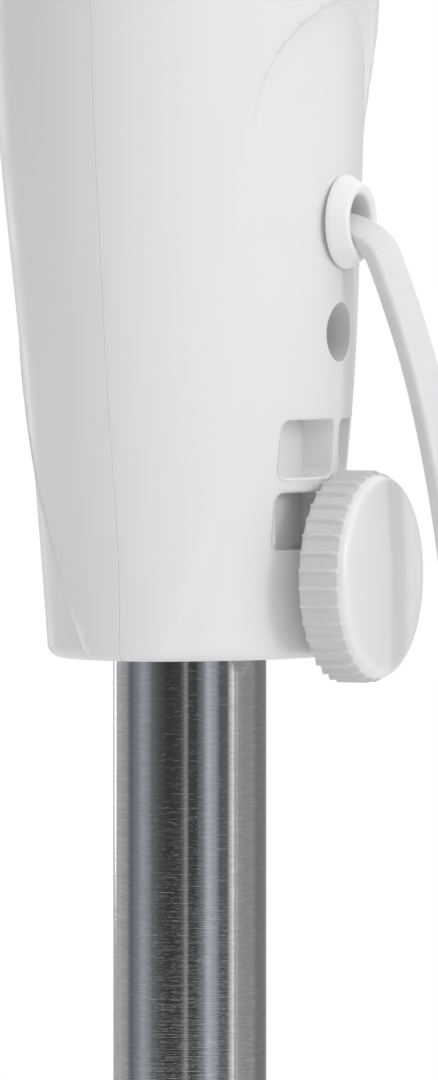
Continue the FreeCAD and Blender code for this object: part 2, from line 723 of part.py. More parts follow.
def make_neck_post():
    """Steel post on a flange in the housing's top, on which the head swings."""
    keep(
        turned(
            "neck_post",
            [
                ("4.5", "housing_foot + housing_tall - 9"),
                ("20", "housing_foot + housing_tall - 9"),
                ("20", "housing_foot + housing_tall - 6"),
                ("post_radius", "housing_foot + housing_tall - 6"),
                ("post_radius", "housing_foot + housing_tall + 34"),
                ("4.5", "housing_foot + housing_tall + 34"),
            ],
        ),
        "neck_post",
    )


# ---------------------------------------------------------------- head


def make_neck():
    """The swinging neck: a cone round the post with a fork for the tilt axis."""
    cone = turned(
        "neck_cone",
        [
            ("post_radius + 0.08", "housing_foot + housing_tall + 2"),
            ("neck_radius", "housing_foot + housing_tall + 2"),
            ("neck_radius", "housing_foot + housing_tall + 8"),
            ("neck_radius - 4", "housing_foot + housing_tall + 24"),
            ("neck_radius - 5", "housing_foot + housing_tall + 40"),
            ("post_radius + 0.08", "housing_foot + housing_tall + 40"),
        ],
    )
    ears = []
    ear_foot = "housing_foot + housing_tall + 36"
    for side, x in (("left", "-19"), ("right", "13.6")):
        web = box(f"ear_{side}", ("5.4", "20", f"tilt_height - ({ear_foot})"), (x, "-10", ear_foot))
        round_top = cylinder(f"ear_{side}_top", "10", "5.4", (x, "0", "tilt_height"), "X")
        ears += [web, round_top]
    bore = cylinder("ear_bore", "4.1", "60", ("-30", "0", "tilt_height"), "X")
    keep(cut("neck", fused("neck_blank", cone, *ears), bore), "neck")
    shank = cylinder("tilt_bolt_shank", "4", "41", ("-19.2", "0", "tilt_height"), "X")
    head = cylinder("tilt_bolt_head", "7", "4", ("-23.2", "0", "tilt_height"), "X")
    keep(fused("tilt_bolt", shank, head), "tilt_bolt")
    knob = knurled(
        "tilt_knob_blank", "12", "12", "2", ("0.9", "0.8", "9"), "20", ("19.3", "0", "tilt_height"), "X"
    )
    bore = cylinder("tilt_knob_bore", "4.08", "4", ("18.3", "0", "tilt_height"), "X")
    keep(cut("tilt_knob", knob, bore), "tilt_knob")


def make_bracket():
    """Casting that carries the motor on the tilt axis."""
    reach = "motor_height - motor_radius - tilt_height - 1"
    tongue = box("bracket_tongue", ("26.6", "18", reach), ("-13.3", "-9", "tilt_height"))
    eye = cylinder("bracket_eye", "9", "26.6", ("-13.3", "0", "tilt_height"), "X")
    saddle = box("bracket_saddle", ("40", "70", "14"), ("-20", "-16", "motor_height - motor_radius - 9"))
    room = cylinder("bracket_room", "motor_radius + 0.3", "200", ("0", "-60", "motor_height"), "Y")
    bore = cylinder("bracket_bore", "4.1", "60", ("-30", "0", "tilt_height"), "X")
    keep(cut("motor_bracket", fused("bracket_blank", tongue, eye, saddle), room, bore), "motor_bracket")


def around_motor(name, outline):
    """A turned piece on the motor's axis; heights in the outline run to the back, from the pole axis."""
    return turned(name, outline, ("0", "0", "motor_height"), "Y")


def make_motor_cover():
    """Rear cover of the motor with a ring of vent slots, and the front plate."""
    shell = around_motor(
        "cover_shell",
        [
            ("motor_radius - 3", "-1 * motor_front + 4.2"),
            ("motor_radius", "-1 * motor_front + 4.2"),
            ("motor_radius", "motor_rear - 46"),
            ("motor_radius - 5", "motor_rear - 24"),
            ("motor_radius - 16", "motor_rear - 8"),
            ("motor_radius - 32", "motor_rear"),
            ("6", "motor_rear"),
            ("6", "motor_rear - 2.5"),
            ("motor_radius - 33", "motor_rear - 2.5"),
            ("motor_radius - 18", "motor_rear - 10"),
            ("motor_radius - 8", "motor_rear - 25"),
            ("motor_radius - 3", "motor_rear - 46"),
        ],
    )
    slots = []
    for i in range(20):
        slot = box(f"vent_{i}", ("3", "30", "16"), ("-1.5", "motor_rear - 20", "0"))
        slot.Placement = Placement()
        turn = Rotation(Vector(0, 1, 0), 18 * i)
        inner = turn.multVec(Vector(-1.5, 0, 27))
        slot.Placement = Placement(inner, turn)
        slot.setExpression("Placement.Base.y", cells("motor_rear - 20"))
        slot.setExpression("Placement.Base.z", cells(f"motor_height + {inner.z:.5f}"))
        slots.append(slot)
    knob_hole = cylinder(
        "swing_knob_hole", "5.4", "30", ("swing_aside", "swing_behind", "motor_height + motor_radius - 20")
    )
    keep(cut("motor_cover", shell, knob_hole, *slots), "motor_cover")
    keep(
        around_motor(
            "front_plate",
            [
                ("9.2", "-1 * motor_front"),
                ("motor_radius - 1", "-1 * motor_front"),
                ("motor_radius - 1", "-1 * motor_front + 4"),
                ("14", "-1 * motor_front + 4"),
                ("14", "-1 * motor_front + 16"),
                ("9.2", "-1 * motor_front + 16"),
            ],
        ),
        "front_plate",
    )
    keep(
        around_motor(
            "guard_spigot",
            [
                ("9.2", "-1 * guard_back - 10"),
                ("16", "-1 * guard_back - 10"),
                ("16", "-1 * guard_back + 3"),
                ("38", "-1 * guard_back + 3"),
                ("40", "-1 * guard_back + 5"),
                ("40", "-1 * motor_front - 0.1"),
                ("9.2", "-1 * motor_front - 0.1"),
            ],
        ),
        "guard_spigot",
    )


def make_motor():
    """The motor: stator, windings, rotor, shaft, bells and bearings, and the swing gearbox behind it."""
    core_front, core_rear = "8", "38"
    core = [("20.6", core_front), ("42", core_front), ("42", core_rear), ("20.6", core_rear)]
    keep(around_motor("stator_core", core), "stator_core")
    coils = []
    for name, near, far in (("front", "-4", "7.8"), ("rear", "38.2", "50")):
        ring = [("24", near), ("38", near), ("38", far), ("24", far)]
        coils.append(around_motor(f"coil_{name}", ring))
    keep(group("stator_windings", *coils), "stator_windings")
    bells = []
    for name, seat, plate, lip in (("front", "-8.6", "-6.6", "14"), ("rear", "54.8", "52.8", "32")):
        outline = [
            ("9.2", seat),
            ("46", seat),
            ("46", lip),
            ("42.2", lip),
            ("42.2", plate),
            ("9.2", plate),
        ]
        bells.append(around_motor(f"bell_{name}", outline))
    keep(group("motor_bells", *bells), "motor_bells")
    bearings = []
    for name, near, far in (("front", "-12", "-5"), ("rear", "52", "59")):
        ring = [("shaft_radius + 0.03", near), ("9.1", near), ("9.1", far), ("shaft_radius + 0.03", far)]
        bearings.append(around_motor(f"bearing_{name}", ring))
    keep(group("motor_bearings", *bearings), "motor_bearings")
    bore = "shaft_radius + 0.01"
    core = [(bore, core_front), ("20", core_front), ("20", core_rear), (bore, core_rear)]
    keep(around_motor("rotor_core", core), "rotor_core")
    tip = ("0", "-1 * guard_plane - 30", "motor_height")
    keep(cylinder("shaft_bar", "shaft_radius", "guard_plane + 30 + 76", tip, "Y"), "motor_shaft")
    case = box("gearbox_block", ("34", "34", "44"), ("-13", "64", "motor_height - 20"))
    room = box("gearbox_room", ("30", "30", "28"), ("-11", "66", "motor_height - 17"))
    way = cylinder("gearbox_way", "shaft_radius + 0.4", "20", ("0", "60", "motor_height"), "Y")
    aside, behind = "swing_aside", "swing_behind"
    stem_way = cylinder("gearbox_stem_way", "3.2", "30", (aside, behind, "motor_height"))
    keep(cut("gearbox_case", case, room, way, stem_way), "gearbox_case")
    wheel = cylinder("worm_wheel_disc", "wheel_radius", "9", (aside, behind, "motor_height - 4.5"))
    hole = cylinder("worm_wheel_bore", "2", "20", (aside, behind, "motor_height - 8"))
    keep(cut("worm_wheel", wheel, hole), "worm_wheel")
    stem = cylinder("swing_knob_stem", "3", "motor_radius - 10", (aside, behind, "motor_height + 12"))
    crown = turned(
        "swing_knob_crown",
        [("0.5", "0"), ("4.8", "0"), ("8", "3"), ("8", "15"), ("6", "18"), ("0.5", "18")],
        (aside, behind, "motor_height + motor_radius"),
    )
    tip = cylinder("swing_knob_tip", "1", "18", (aside, behind, "motor_height + motor_radius"))
    keep(fused("swing_knob", stem, crown, tip), "swing_knob")


# ---------------------------------------------------------------- guards and blade


def bent_tube(corners, radius, name=None):
    """A tube along straight runs joined by tangent arcs, each as large as its two runs allow."""
    edges = []
    start = corners[0]
    for before, corner, after in zip(corners, corners[1:], corners[2:]):
        back, ahead = before - corner, after - corner
        reach = 0.45 * min(back.Length, ahead.Length)
        turn = math.pi - back.getAngle(ahead)
        if name:
            print(f"{name} arc {reach / math.tan(turn / 2):.0f} mm")
        first = corner + back.normalize() * reach
        last = corner + ahead.normalize() * reach
        depth = reach / math.tan(turn / 2) * (1 / math.cos(turn / 2) - 1)
        middle = corner + (back + ahead).normalize() * depth
        edges.append(Part.LineSegment(start, first).toShape())
        edges.append(Part.Arc(first, middle, last).toShape())
        start = last
    edges.append(Part.LineSegment(start, corners[-1]).toShape())
    path = Part.Wire(edges)
    circle = Part.makeCircle(radius, corners[0], corners[1] - corners[0])
    tube = path.makePipeShell([Part.Wire([circle])], True, False)
    expected = math.pi * radius**2 * path.Length
    assert abs(tube.Volume - expected) < 0.02 * expected, "a tube isn't its section times its length"
    return tube


def guard_wire(points):
    """One wire bent through points given as (radius, distance before the pole axis), in the plane X = 0."""
    up = dim("motor_height")
    corners = [Vector(0, -before, up + radius) for radius, before in points]
    return bent_tube(corners, dim("wire_radius"))


def round_motor(shape, count):
    """Copies of a solid, evenly round the motor's axis."""
    centre = Vector(0, 0, dim("motor_height"))
    copies = []
    for i in range(count):
        copy = shape.copy()
        copy.rotate(centre, Vector(0, 1, 0), 360 * (i + 0.5) / count)
        copies.append(copy)
    return copies


def guard_ring(radius, before, thickness):
    return Part.makeTorus(radius, thickness, Vector(0, -before, dim("motor_height")), Vector(0, 1, 0))


def disc_ring(inner, outer, before, thickness):
    """A flat ring on the motor's axis, from before towards the back."""
    start = Vector(0, -before, dim("motor_height"))
    ring = Part.makeCylinder(outer, thickness, start, Vector(0, 1, 0))
    return ring.cut(Part.makeCylinder(inner, thickness, start, Vector(0, 1, 0)))


def make_guards():
    """Rear and front wire guards, the band that joins them, its clips, the guard nut and the badge."""
    rim, plane = dim("guard_radius"), dim("guard_plane")
    front, back, bend = dim("guard_front"), dim("guard_back"), dim("guard_bend")
    wire, ring, count = dim("wire_radius"), dim("ring_radius"), int(dim("wire_count"))
    rear_side = [(rim, plane - 4), (rim - 6, plane - 36), (rim - 34, back + 12)]
    rear_face = [(120, back + bend), (44, back)]
    front_side = [(rim, plane + 4), (rim - 5, plane + 34), (rim - 30, front - 12)]
    front_face = [(110, front - bend), (36, front)]
    lines = {"rear_guard_wires": rear_side + rear_face, "front_guard_wires": front_side + front_face}
    for name, line in lines.items():
        wires = round_motor(guard_wire(line), count)
        keep(feature(name, Part.makeCompound(wires)), name)
    inside = wire + ring + PLAY
    cut_corner = 0.8  # a wire's bend passes inside its corner by a little less than this
    rings = [
        guard_ring(rim - inside, plane - 4, ring),
        guard_ring(120, back + bend + inside + cut_corner, ring),
        disc_ring(16.2, 46, back - wire - 0.1, 1.5),
    ]
    keep(feature("rear_guard_rings", Part.makeCompound(rings)), "rear_guard_rings")
    rings = [
        guard_ring(rim - inside, plane + 4, ring),
        guard_ring(110, front - bend - inside - cut_corner, ring),
        guard_ring(38, front - inside, ring),
    ]
    keep(feature("front_guard_rings", Part.makeCompound(rings)), "front_guard_rings")
    band = disc_ring(rim + wire + 0.2, rim + wire + 2.4, plane + 8, 16)
    keep(feature("guard_band", band), "guard_band")
    badge = Part.makeCylinder(34, 4, Vector(0, -front - 2, dim("motor_height")), Vector(0, 1, 0))
    badge = badge.makeFillet(1.8, [e for e in badge.Edges if e.BoundBox.YMax < -front - 1.9])
    keep(feature("guard_badge", badge), "guard_badge")
    nut = disc_ring(16.2, 36, back + wire + 6.6, 5)
    flute = Part.makeCylinder(3, 7, Vector(36, -back - wire - 7.6, dim("motor_height")), Vector(0, 1, 0))
    nut = nut.cut(round_motor(flute, 16))
    keep(feature("guard_nut", nut), "guard_nut")


def blade_section(radius, chord, pitch, camber, thickness):
    """Closed section of a blade at one radius, across the radius."""
    upper, lower = [], []
    cosine, sine = math.cos(pitch), math.sin(pitch)
    for step in range(9):
        along = step / 8 - 0.5
        arch = camber * (1 - 4 * along * along)
        half = thickness / 2 * math.sqrt(max(0.0, 1 - (2 * along) ** 2) + 0.04)
        for side, rows in ((1, upper), (-1, lower)):
            t, a = along * chord, arch + side * half
            rows.append(Vector(t * cosine - a * sine, -(t * sine + a * cosine), radius))
    top, under = Part.BSplineCurve(), Part.BSplineCurve()
    top.interpolate(Points=upper)
    under.interpolate(Points=lower)
    ends = [Part.makeLine(upper[-1], lower[-1]), Part.makeLine(lower[0], upper[0])]
    return Part.Wire(Part.__sortEdges__([top.toShape(), under.toShape(), *ends]))


def make_blade():
    """Fan blade with its hub, and the spinner nut in front of it."""
    span, count, hub = dim("blade_radius"), int(dim("blade_count")), dim("hub_radius")
    sections = []
    for share in (0.13, 0.35, 0.6, 0.85, 1.0):
        chord = 52 + 78 * share - 34 * max(0.0, share - 0.8) / 0.2
        pitch = math.radians(38 - 18 * share)
        sections.append(blade_section(span * share, chord, pitch, 5.0 * share + 2, 2.4))
    one = Part.makeLoft(sections, True, False)
    plane, up, backwards = dim("guard_plane"), dim("motor_height"), Vector(0, 1, 0)
    one.translate(Vector(0, -plane, up))
    boss = Part.makeCylinder(hub, 34, Vector(0, -plane - 17, up), backwards)
    boss = boss.makeFillet(5, [e for e in boss.Edges if e.BoundBox.YMax < -plane - 16])
    bore = Part.makeCylinder(dim("shaft_radius") + 0.02, 90, Vector(0, -plane - 30, up), backwards)
    hollow = disc_ring(10, hub - 3, plane + 12, 40)
    inner = Part.makeCylinder(hub - 3, 40, Vector(0, -plane - 12, up), backwards)
    wheel = boss.fuse([b.cut(inner) for b in round_motor(one, count)])
    keep(feature("fan_blade", wheel.cut([bore, hollow])), "fan_blade")
    keep(
        around_motor(
            "spinner",
            [
                ("shaft_radius + 0.05", "-1 * guard_plane - 17.2"),
                ("20", "-1 * guard_plane - 17.2"),
                ("20", "-1 * guard_plane - 22"),
                ("14", "-1 * guard_plane - 32"),
                ("5", "-1 * guard_plane - 36"),
                ("shaft_radius + 0.05", "-1 * guard_plane - 36"),
            ],
        ),
        "spinner",
    )


# ---------------------------------------------------------------- mains cord


def cord_route():
    """Corners of the cord's route in the plane X = 0, from the grommet to the coil: (behind, height)."""
    foot = dim("housing_foot")
    return [
        (16.5, foot + 71.5),
        (32.2, foot + 71.6),
        (37.0, foot + 60.5),
        (42.2, foot + 45),
        (46.7, foot + 24),
        (50.5, foot - 6),
        (53.5, foot - 60),
        (54, foot - 140),
        (52.5, foot - 220),
        (53, foot - 300),
        (55.5, foot - 380),
        (59, foot - 460),
        (61, foot - 540),
        (64, foot - 615),
        (69, 126),
        (77, 86),
        (90, 59),
        (110, 40),
        (136, 31),
        (168, 24),
        (189, 18),
        (201, 11),
        (211, 5),
        (223, 3.2),
    ]


def make_cord():
    """Hanging run, run over the base to the floor, the coil and the plug."""
    corners = [Vector(0, behind, height) for behind, height in cord_route()]
    split = 13
    middle = (corners[split] + corners[split + 1]) * 0.5
    radius = dim("cord_width") / 2
    keep(feature("cord_drop", bent_tube([*corners[: split + 1], middle], radius, "cord")), "cord_drop")
    keep(feature("cord_floor", bent_tube([middle, *corners[split + 1 :]], radius, "cord")), "cord_floor")
    centre = ("-1 * coil_radius", "coil_place", "0")
    section = [
        ("coil_radius - coil_half", "0"),
        ("coil_radius + coil_half", "0"),
        ("coil_radius + coil_half", "coil_tall"),
        ("coil_radius - coil_half", "coil_tall"),
    ]
    keep(turned("cord_coil", section, centre), "cord_coil")


def make_plug():
    """Two-pin plug lying flat beside the coil, its cord end to the back."""
    wide, thick, long = dim("plug_wide"), dim("plug_thick"), dim("plug_long")
    corner = Vector(dim("plug_aside") - wide / 2, dim("coil_place") - long, 0)
    body = Part.makeBox(wide, long, thick, corner)
    upright = [e for e in body.Edges if abs(e.tangentAt(e.FirstParameter).z) > 0.9]
    body = body.makeFillet(9, [e for e in upright if e.BoundBox.YMin > corner.y + 1])
    body = body.makeFillet(2, [e for e in body.Edges if e.BoundBox.ZLength < 0.01])
    keep(feature("plug_body", body), "plug_body")
    pins = []
    for name, side in (("left", "-0.5"), ("right", "0.5")):
        behind = f"coil_place - plug_long - {PLAY} - pin_long"
        place = (f"plug_aside + {side} * pin_pitch", behind, "plug_thick / 2")
        pins.append(cylinder(f"pin_{name}", "pin_radius", "pin_long", place, "Y"))
    keep(group("plug_pins", *pins), "plug_pins")


# ---------------------------------------------------------------- build and export


def make_upper_pole():
    """Chromed tube that the housing sits on, with the hole its locating screw goes through."""
    tube = turned(
        "upper_pole_tube",
        [
            ("pole_bore", "pole_foot"),
            ("pole_radius", "pole_foot"),
            ("pole_radius", "housing_foot + pole_grip"),
            ("pole_bore", "housing_foot + pole_grip"),
        ],
    )
    hole = cylinder("upper_pole_hole", "1.7", "14", ("0", "5", "housing_foot + screw_rise"), "Y")
    keep(cut("upper_pole", tube, hole), "upper_pole")


def check_all():
    """Stops if an object failed, or a sub-part is null, open or not valid."""
    failed = [o.Label for o in DOC.Objects if {"Invalid", "Error"} & set(o.State)]
    if failed:
        raise RuntimeError(f"failed objects: {failed}")
    for part in PARTS:
        shape = part.Shape
        if shape.isNull() or not shape.isValid() or not shape.Solids:
            raise RuntimeError(f"{part.Label} has no valid solid")


def main():
    fill_sheet()
    for step in (
        make_stand,
        make_collar,
        make_upper_pole,
        make_shells,
        make_screws,
        make_clamp,
        make_cord_entry,
        make_buttons,
        make_electrics,
        make_neck_post,
        make_neck,
        make_bracket,
        make_motor_cover,
        make_motor,
        make_guards,
        make_blade,
        make_cord,
        make_plug,
    ):
        step()
    DOC.recompute()
    check_all()
    os.makedirs("parts", exist_ok=True)
    for part in PARTS:
        part.Shape.exportStep(f"parts/{part.Label}.step")
    print(f"{len(PARTS)} sub-parts")


main()
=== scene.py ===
"""Pedestal fan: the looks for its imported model, in the same frame as the CAD.

Z is up, the floor is z = 0, the pole's axis is X = Y = 0, and the fan blows towards -Y. The control
housing is modelled in millimetres above its own bottom, and is put into metres when its object is made.
"""

import json
import math

import bmesh
import bpy
import numpy as np
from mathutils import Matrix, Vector
from mathutils.geometry import delaunay_2d_cdt


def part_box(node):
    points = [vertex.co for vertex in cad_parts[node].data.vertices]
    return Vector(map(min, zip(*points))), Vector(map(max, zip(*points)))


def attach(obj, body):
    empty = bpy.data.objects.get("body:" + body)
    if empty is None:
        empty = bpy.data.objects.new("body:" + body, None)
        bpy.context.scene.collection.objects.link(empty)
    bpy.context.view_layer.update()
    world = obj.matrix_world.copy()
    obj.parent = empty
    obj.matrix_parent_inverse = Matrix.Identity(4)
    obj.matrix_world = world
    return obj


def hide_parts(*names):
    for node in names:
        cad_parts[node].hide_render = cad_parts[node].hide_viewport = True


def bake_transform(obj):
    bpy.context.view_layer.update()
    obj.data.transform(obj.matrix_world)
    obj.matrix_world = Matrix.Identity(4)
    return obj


MM = 0.001

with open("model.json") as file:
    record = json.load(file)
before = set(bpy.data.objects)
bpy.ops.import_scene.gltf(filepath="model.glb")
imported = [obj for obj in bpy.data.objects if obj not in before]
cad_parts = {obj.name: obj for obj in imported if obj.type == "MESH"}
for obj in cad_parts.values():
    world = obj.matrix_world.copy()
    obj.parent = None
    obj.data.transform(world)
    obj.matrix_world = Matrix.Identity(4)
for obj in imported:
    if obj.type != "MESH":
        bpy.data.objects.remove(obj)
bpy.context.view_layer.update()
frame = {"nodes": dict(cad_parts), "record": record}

# ---------------------------------------------------------------- sizes

HOUSING_LOW, HOUSING_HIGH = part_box("rear_shell")
HOUSING_FOOT = HOUSING_LOW.z
HOUSING_TALL = (HOUSING_HIGH.z - HOUSING_LOW.z) / MM
SQUARENESS = {1: 1.75, -1: 2.15}  # exponent of the superellipse sections' back half and front half
SHELL_INSIDE = 1.6  # how far the shells' joint faces reach inwards
EDGE_LOW, EDGE_HIGH = 2.0, 9.0  # roundings of the housing's bottom and top edges
SEAM_GAP, SEAM_ROUND = 0.01, 0.09  # half of the gap between the shells, and the rounding of their edges
SEAM_STEP = 0.05  # how far the rear shell lies under the front shell's edge
END_THICK = 2.5  # the flat top and bottom
POLE_HOLE, POST_HOLE = 12.9, 9.0  # radii of the holes in the bottom and the top
CELL = 1.5  # mesh size on the shells
SPREAD = 35.0  # millimetres of shell for one radian round it

# Height, half width, depth to the front, depth to the back, and how far the back stands out past its recess.
SECTIONS = np.array(
    [
        (0, 28.2, 22.1, 25.0, 0.0),
        (15, 28.5, 23.4, 25.7, 0.0),
        (40, 32.4, 24.9, 27.0, 0.0),
        (65, 35.6, 27.1, 27.6, 0.2),
        (88, 38.3, 29.1, 27.9, 1.6),
        (110, 39.9, 29.9, 28.0, 2.9),
        (150, 42.0, 30.6, 28.1, 3.2),
        (190, 42.6, 31.1, 28.1, 3.2),
    ]
)
ARCH_HALF, ARCH_SPRING, ARCH_RISE = 21.5, 88.0, 19.3  # half width, foot's height and rise of the arch's top
ARCH_RAMP, ARCH_LIP = 2.1, 0.15  # width of the step round the arch, and its share inside the arch's line
ARCH_NARROWS = (78, 97)  # heights between which the step narrows from the crease's width to its own
# Height and distance from the middle of the crease down each leg of the arch.
CREASE_LINE = np.array([(0, 26.5), (12, 24.5), (22.5, 23.2), (35, 22.3), (48, 22.0), (66, 21.7), (88, 21.5)])
CREASE_DEEP, CREASE_WIDE = 0.42, 4.5
CREASE_FADES = (26, 58)  # heights between which the crease fades out
CHIN_FOOT, CHIN_LEAN, CHIN_CENTRE = 27.5, 0.185, 39.0  # legs that lean inwards to a round top
CHIN_DEEP, CHIN_RAMP, CHIN_LIP = 0.5, 0.42, 0.2  # depth and width of its step, and the lip along it

POCKET_SIDES = (1.0, 13.8)  # distances of a pocket's sides from the middle
# Bottom and top of each row of pockets, and the width and rise of its floor's curl.
POCKET_ROWS = ((17.9, 27.3, 4.6, 0.9), (29.8, 39.2, 1.0, 0.0))
POCKET_FLOOR, POCKET_CORNER, POCKET_MOUTH = 20.7, 1.5, 0.45
SCREW_RISE, SCREW_WELL, SCREW_SEAT = 53.4, 4.85, 15.0
GROMMET_RISE, GROMMET_HOLE = 71.5, 5.75
KNOB_RISE, STUD_HOLE = 13.4, 3.3
SHAFT_FLOOR = 18.0  # how near the pole's axis the walls of an open hole reach

CAMERA_AZIMUTH, CAMERA_ELEVATION = 114.0, 2.2
CAMERA_AWAY = 2.6
VIEW_TALL = 0.1777  # height of the picture at the pole
VIEW_ASIDE, VIEW_ABOVE = 0.0048, 0.0189  # picture's centre from the pole's axis and the housing's bottom


# ---------------------------------------------------------------- small helpers


def smooth_curve(xs, ys):
    """A natural cubic spline through the points, as a function of an array."""
    xs, ys = np.asarray(xs, float), np.asarray(ys, float)
    n, h = len(xs), np.diff(xs)
    system, right = np.eye(n), np.zeros(n)
    for i in range(1, n - 1):
        system[i, i - 1 : i + 2] = h[i - 1], 2 * (h[i - 1] + h[i]), h[i]
        right[i] = 6 * ((ys[i + 1] - ys[i]) / h[i] - (ys[i] - ys[i - 1]) / h[i - 1])
    bend = np.linalg.solve(system, right)

    def value(x):
        x = np.clip(np.asarray(x, float), xs[0], xs[-1])
        i = np.clip(np.searchsorted(xs, x) - 1, 0, n - 2)
        a, b = (xs[i + 1] - x) / h[i], (x - xs[i]) / h[i]
        curved = ((a**3 - a) * bend[i] + (b**3 - b) * bend[i + 1]) * h[i] ** 2 / 6
        return a * ys[i] + b * ys[i + 1] + curved

    return value


def ramp(x, low, high):
    """0 below low, 1 above high, smooth between them."""
    t = np.clip((x - low) / (high - low), 0, 1)
    return t * t * (3 - 2 * t)


def power(value, exponent):
    """The value's size to the exponent, with the value's sign."""
    return np.sign(value) * np.abs(value) ** exponent


def unit(vectors):
    """The same directions, one unit long."""
    return vectors / np.maximum(np.linalg.norm(vectors, axis=-1, keepdims=True), 1e-12)


def ways_along(line):
    """How far along the line each of its points is."""
    return np.concatenate([[0], np.cumsum(np.linalg.norm(np.diff(line, axis=0), axis=1))])


def new_object(name, mesh, body, material):
    """A piece of the object, riding on the body unless body is None."""
    made = bpy.data.objects.new(name, mesh)
    bpy.context.scene.collection.objects.link(made)
    made.data.materials.append(material)
    if body:
        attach(made, body)
    return made


class Surface:
    """Points, each with its own normal, and the faces between them."""

    def __init__(self):
        self.points, self.normals, self.faces = [], [], []

    def add(self, points, normals):
        """Adds points with a normal for each or one for all, and gives their numbers."""
        first = len(self.points)
        self.points.extend(np.asarray(points, float))
        self.normals.extend(unit(np.broadcast_to(np.asarray(normals, float), np.shape(points))))
        return np.arange(first, len(self.points))

    def strip(self, one, other, closed=False):
        """Faces between two lines of points, which have as many points as each other."""
        count = len(one) if closed else len(one) - 1
        for i in range(count):
            j = (i + 1) % len(one)
            self.faces.append((one[i], one[j], other[j], other[i]))

    def build(self, name, body, material, lift=0.0):
        """One object in metres, with every face turned to agree with its corners' normals."""
        points, normals = np.array(self.points), np.array(self.normals)
        faces = []
        for face in self.faces:
            a, b, c = (points[i] for i in face[:3])
            agrees = np.cross(b - a, c - a) @ normals[list(face)].sum(0) > 0
            faces.append([int(i) for i in (face if agrees else face[::-1])])
        mesh = bpy.data.meshes.new(name)
        mesh.from_pydata([tuple(p) for p in points * MM + (0, 0, lift)], [], faces)
        mesh.polygons.foreach_set("use_smooth", [True] * len(mesh.polygons))
        mesh.normals_split_custom_set_from_vertices([tuple(n) for n in normals])
        mesh.update()
        return new_object(name, mesh, body, material)


def joined_rings(name, rings, merge, sharp):
    """A smooth mesh between rings of points in metres, with points merged within merge of each other."""
    mesh = bpy.data.meshes.new(name)
    made = bmesh.new()
    corners = [[made.verts.new(spot) for spot in ring] for ring in rings]
    for one, other in zip(corners, corners[1:]):
        for i in range(len(one)):
            j = (i + 1) % len(one)
            made.faces.new((one[i], one[j], other[j], other[i]))
    bmesh.ops.remove_doubles(made, verts=made.verts, dist=merge)
    bmesh.ops.recalc_face_normals(made, faces=made.faces)
    made.to_mesh(mesh)
    made.free()
    mesh.polygons.foreach_set("use_smooth", [True] * len(mesh.polygons))
    mesh.set_sharp_from_angle(angle=math.radians(sharp))
    return mesh


def lathe(name, profile, centre, along, body, material, steps):
    """A turned piece. profile is (radius, distance along the axis) in millimetres and centre is in metres."""
    rings = []
    for radius, away in profile:
        ring = []
        for i in range(steps):
            turn = 2 * math.pi * i / steps
            across, up = radius * math.cos(turn) * MM, radius * math.sin(turn) * MM
            spot = (across, up, away * MM) if along == "Z" else (up, away * MM, across)
            ring.append(Vector(spot) + Vector(centre))
        rings.append(ring)
    return new_object(name, joined_rings(name, rings, merge=1e-7, sharp=35), body, material)


def rounding(centre, radius, first, last, steps=6):
    """Points of an arc in a profile, from one angle in degrees to another."""
    turns = [math.radians(first + (last - first) * i / steps) for i in range(steps + 1)]
    return [(centre[0] + radius * math.cos(t), centre[1] + radius * math.sin(t)) for t in turns]


# ---------------------------------------------------------------- materials


class Nodes:
    """A node tree, with short calls for the few kinds of nodes used here."""

    def __init__(self, tree):
        self.tree = tree

    def node(self, kind, **values):
        made = self.tree.nodes.new(kind)
        for name, value in values.items():
            setattr(made, name, value)
        return made

    def link(self, source, target):
        self.tree.links.new(source, target)

    def fill(self, sockets, values):
        """Joins each socket to the output given for it, or sets it to the value given for it."""
        for socket, value in zip(sockets, values):
            if isinstance(value, bpy.types.NodeSocket):
                self.link(value, socket)
            else:
                socket.default_value = value

    def maths(self, operation, *values):
        made = self.node("ShaderNodeMath", operation=operation)
        self.fill(made.inputs, values)
        return made.outputs[0]

    def mixed(self, share, one, other):
        made = self.node("ShaderNodeMix", data_type="RGBA")
        self.fill([made.inputs[name] for name in ("Factor", "A", "B")], (share, one, other))
        return made.outputs["Result"]

    def spread(self, source, low, high, first=0.35, last=0.65, **kind):
        """The source's stretch from first to last, spread out from low to high."""
        made = self.node("ShaderNodeMapRange", **kind)
        for name, value in (("From Min", first), ("From Max", last), ("To Min", low), ("To Max", high)):
            made.inputs[name].default_value = value
        self.link(source, made.inputs["Value"])
        return made.outputs["Result"]


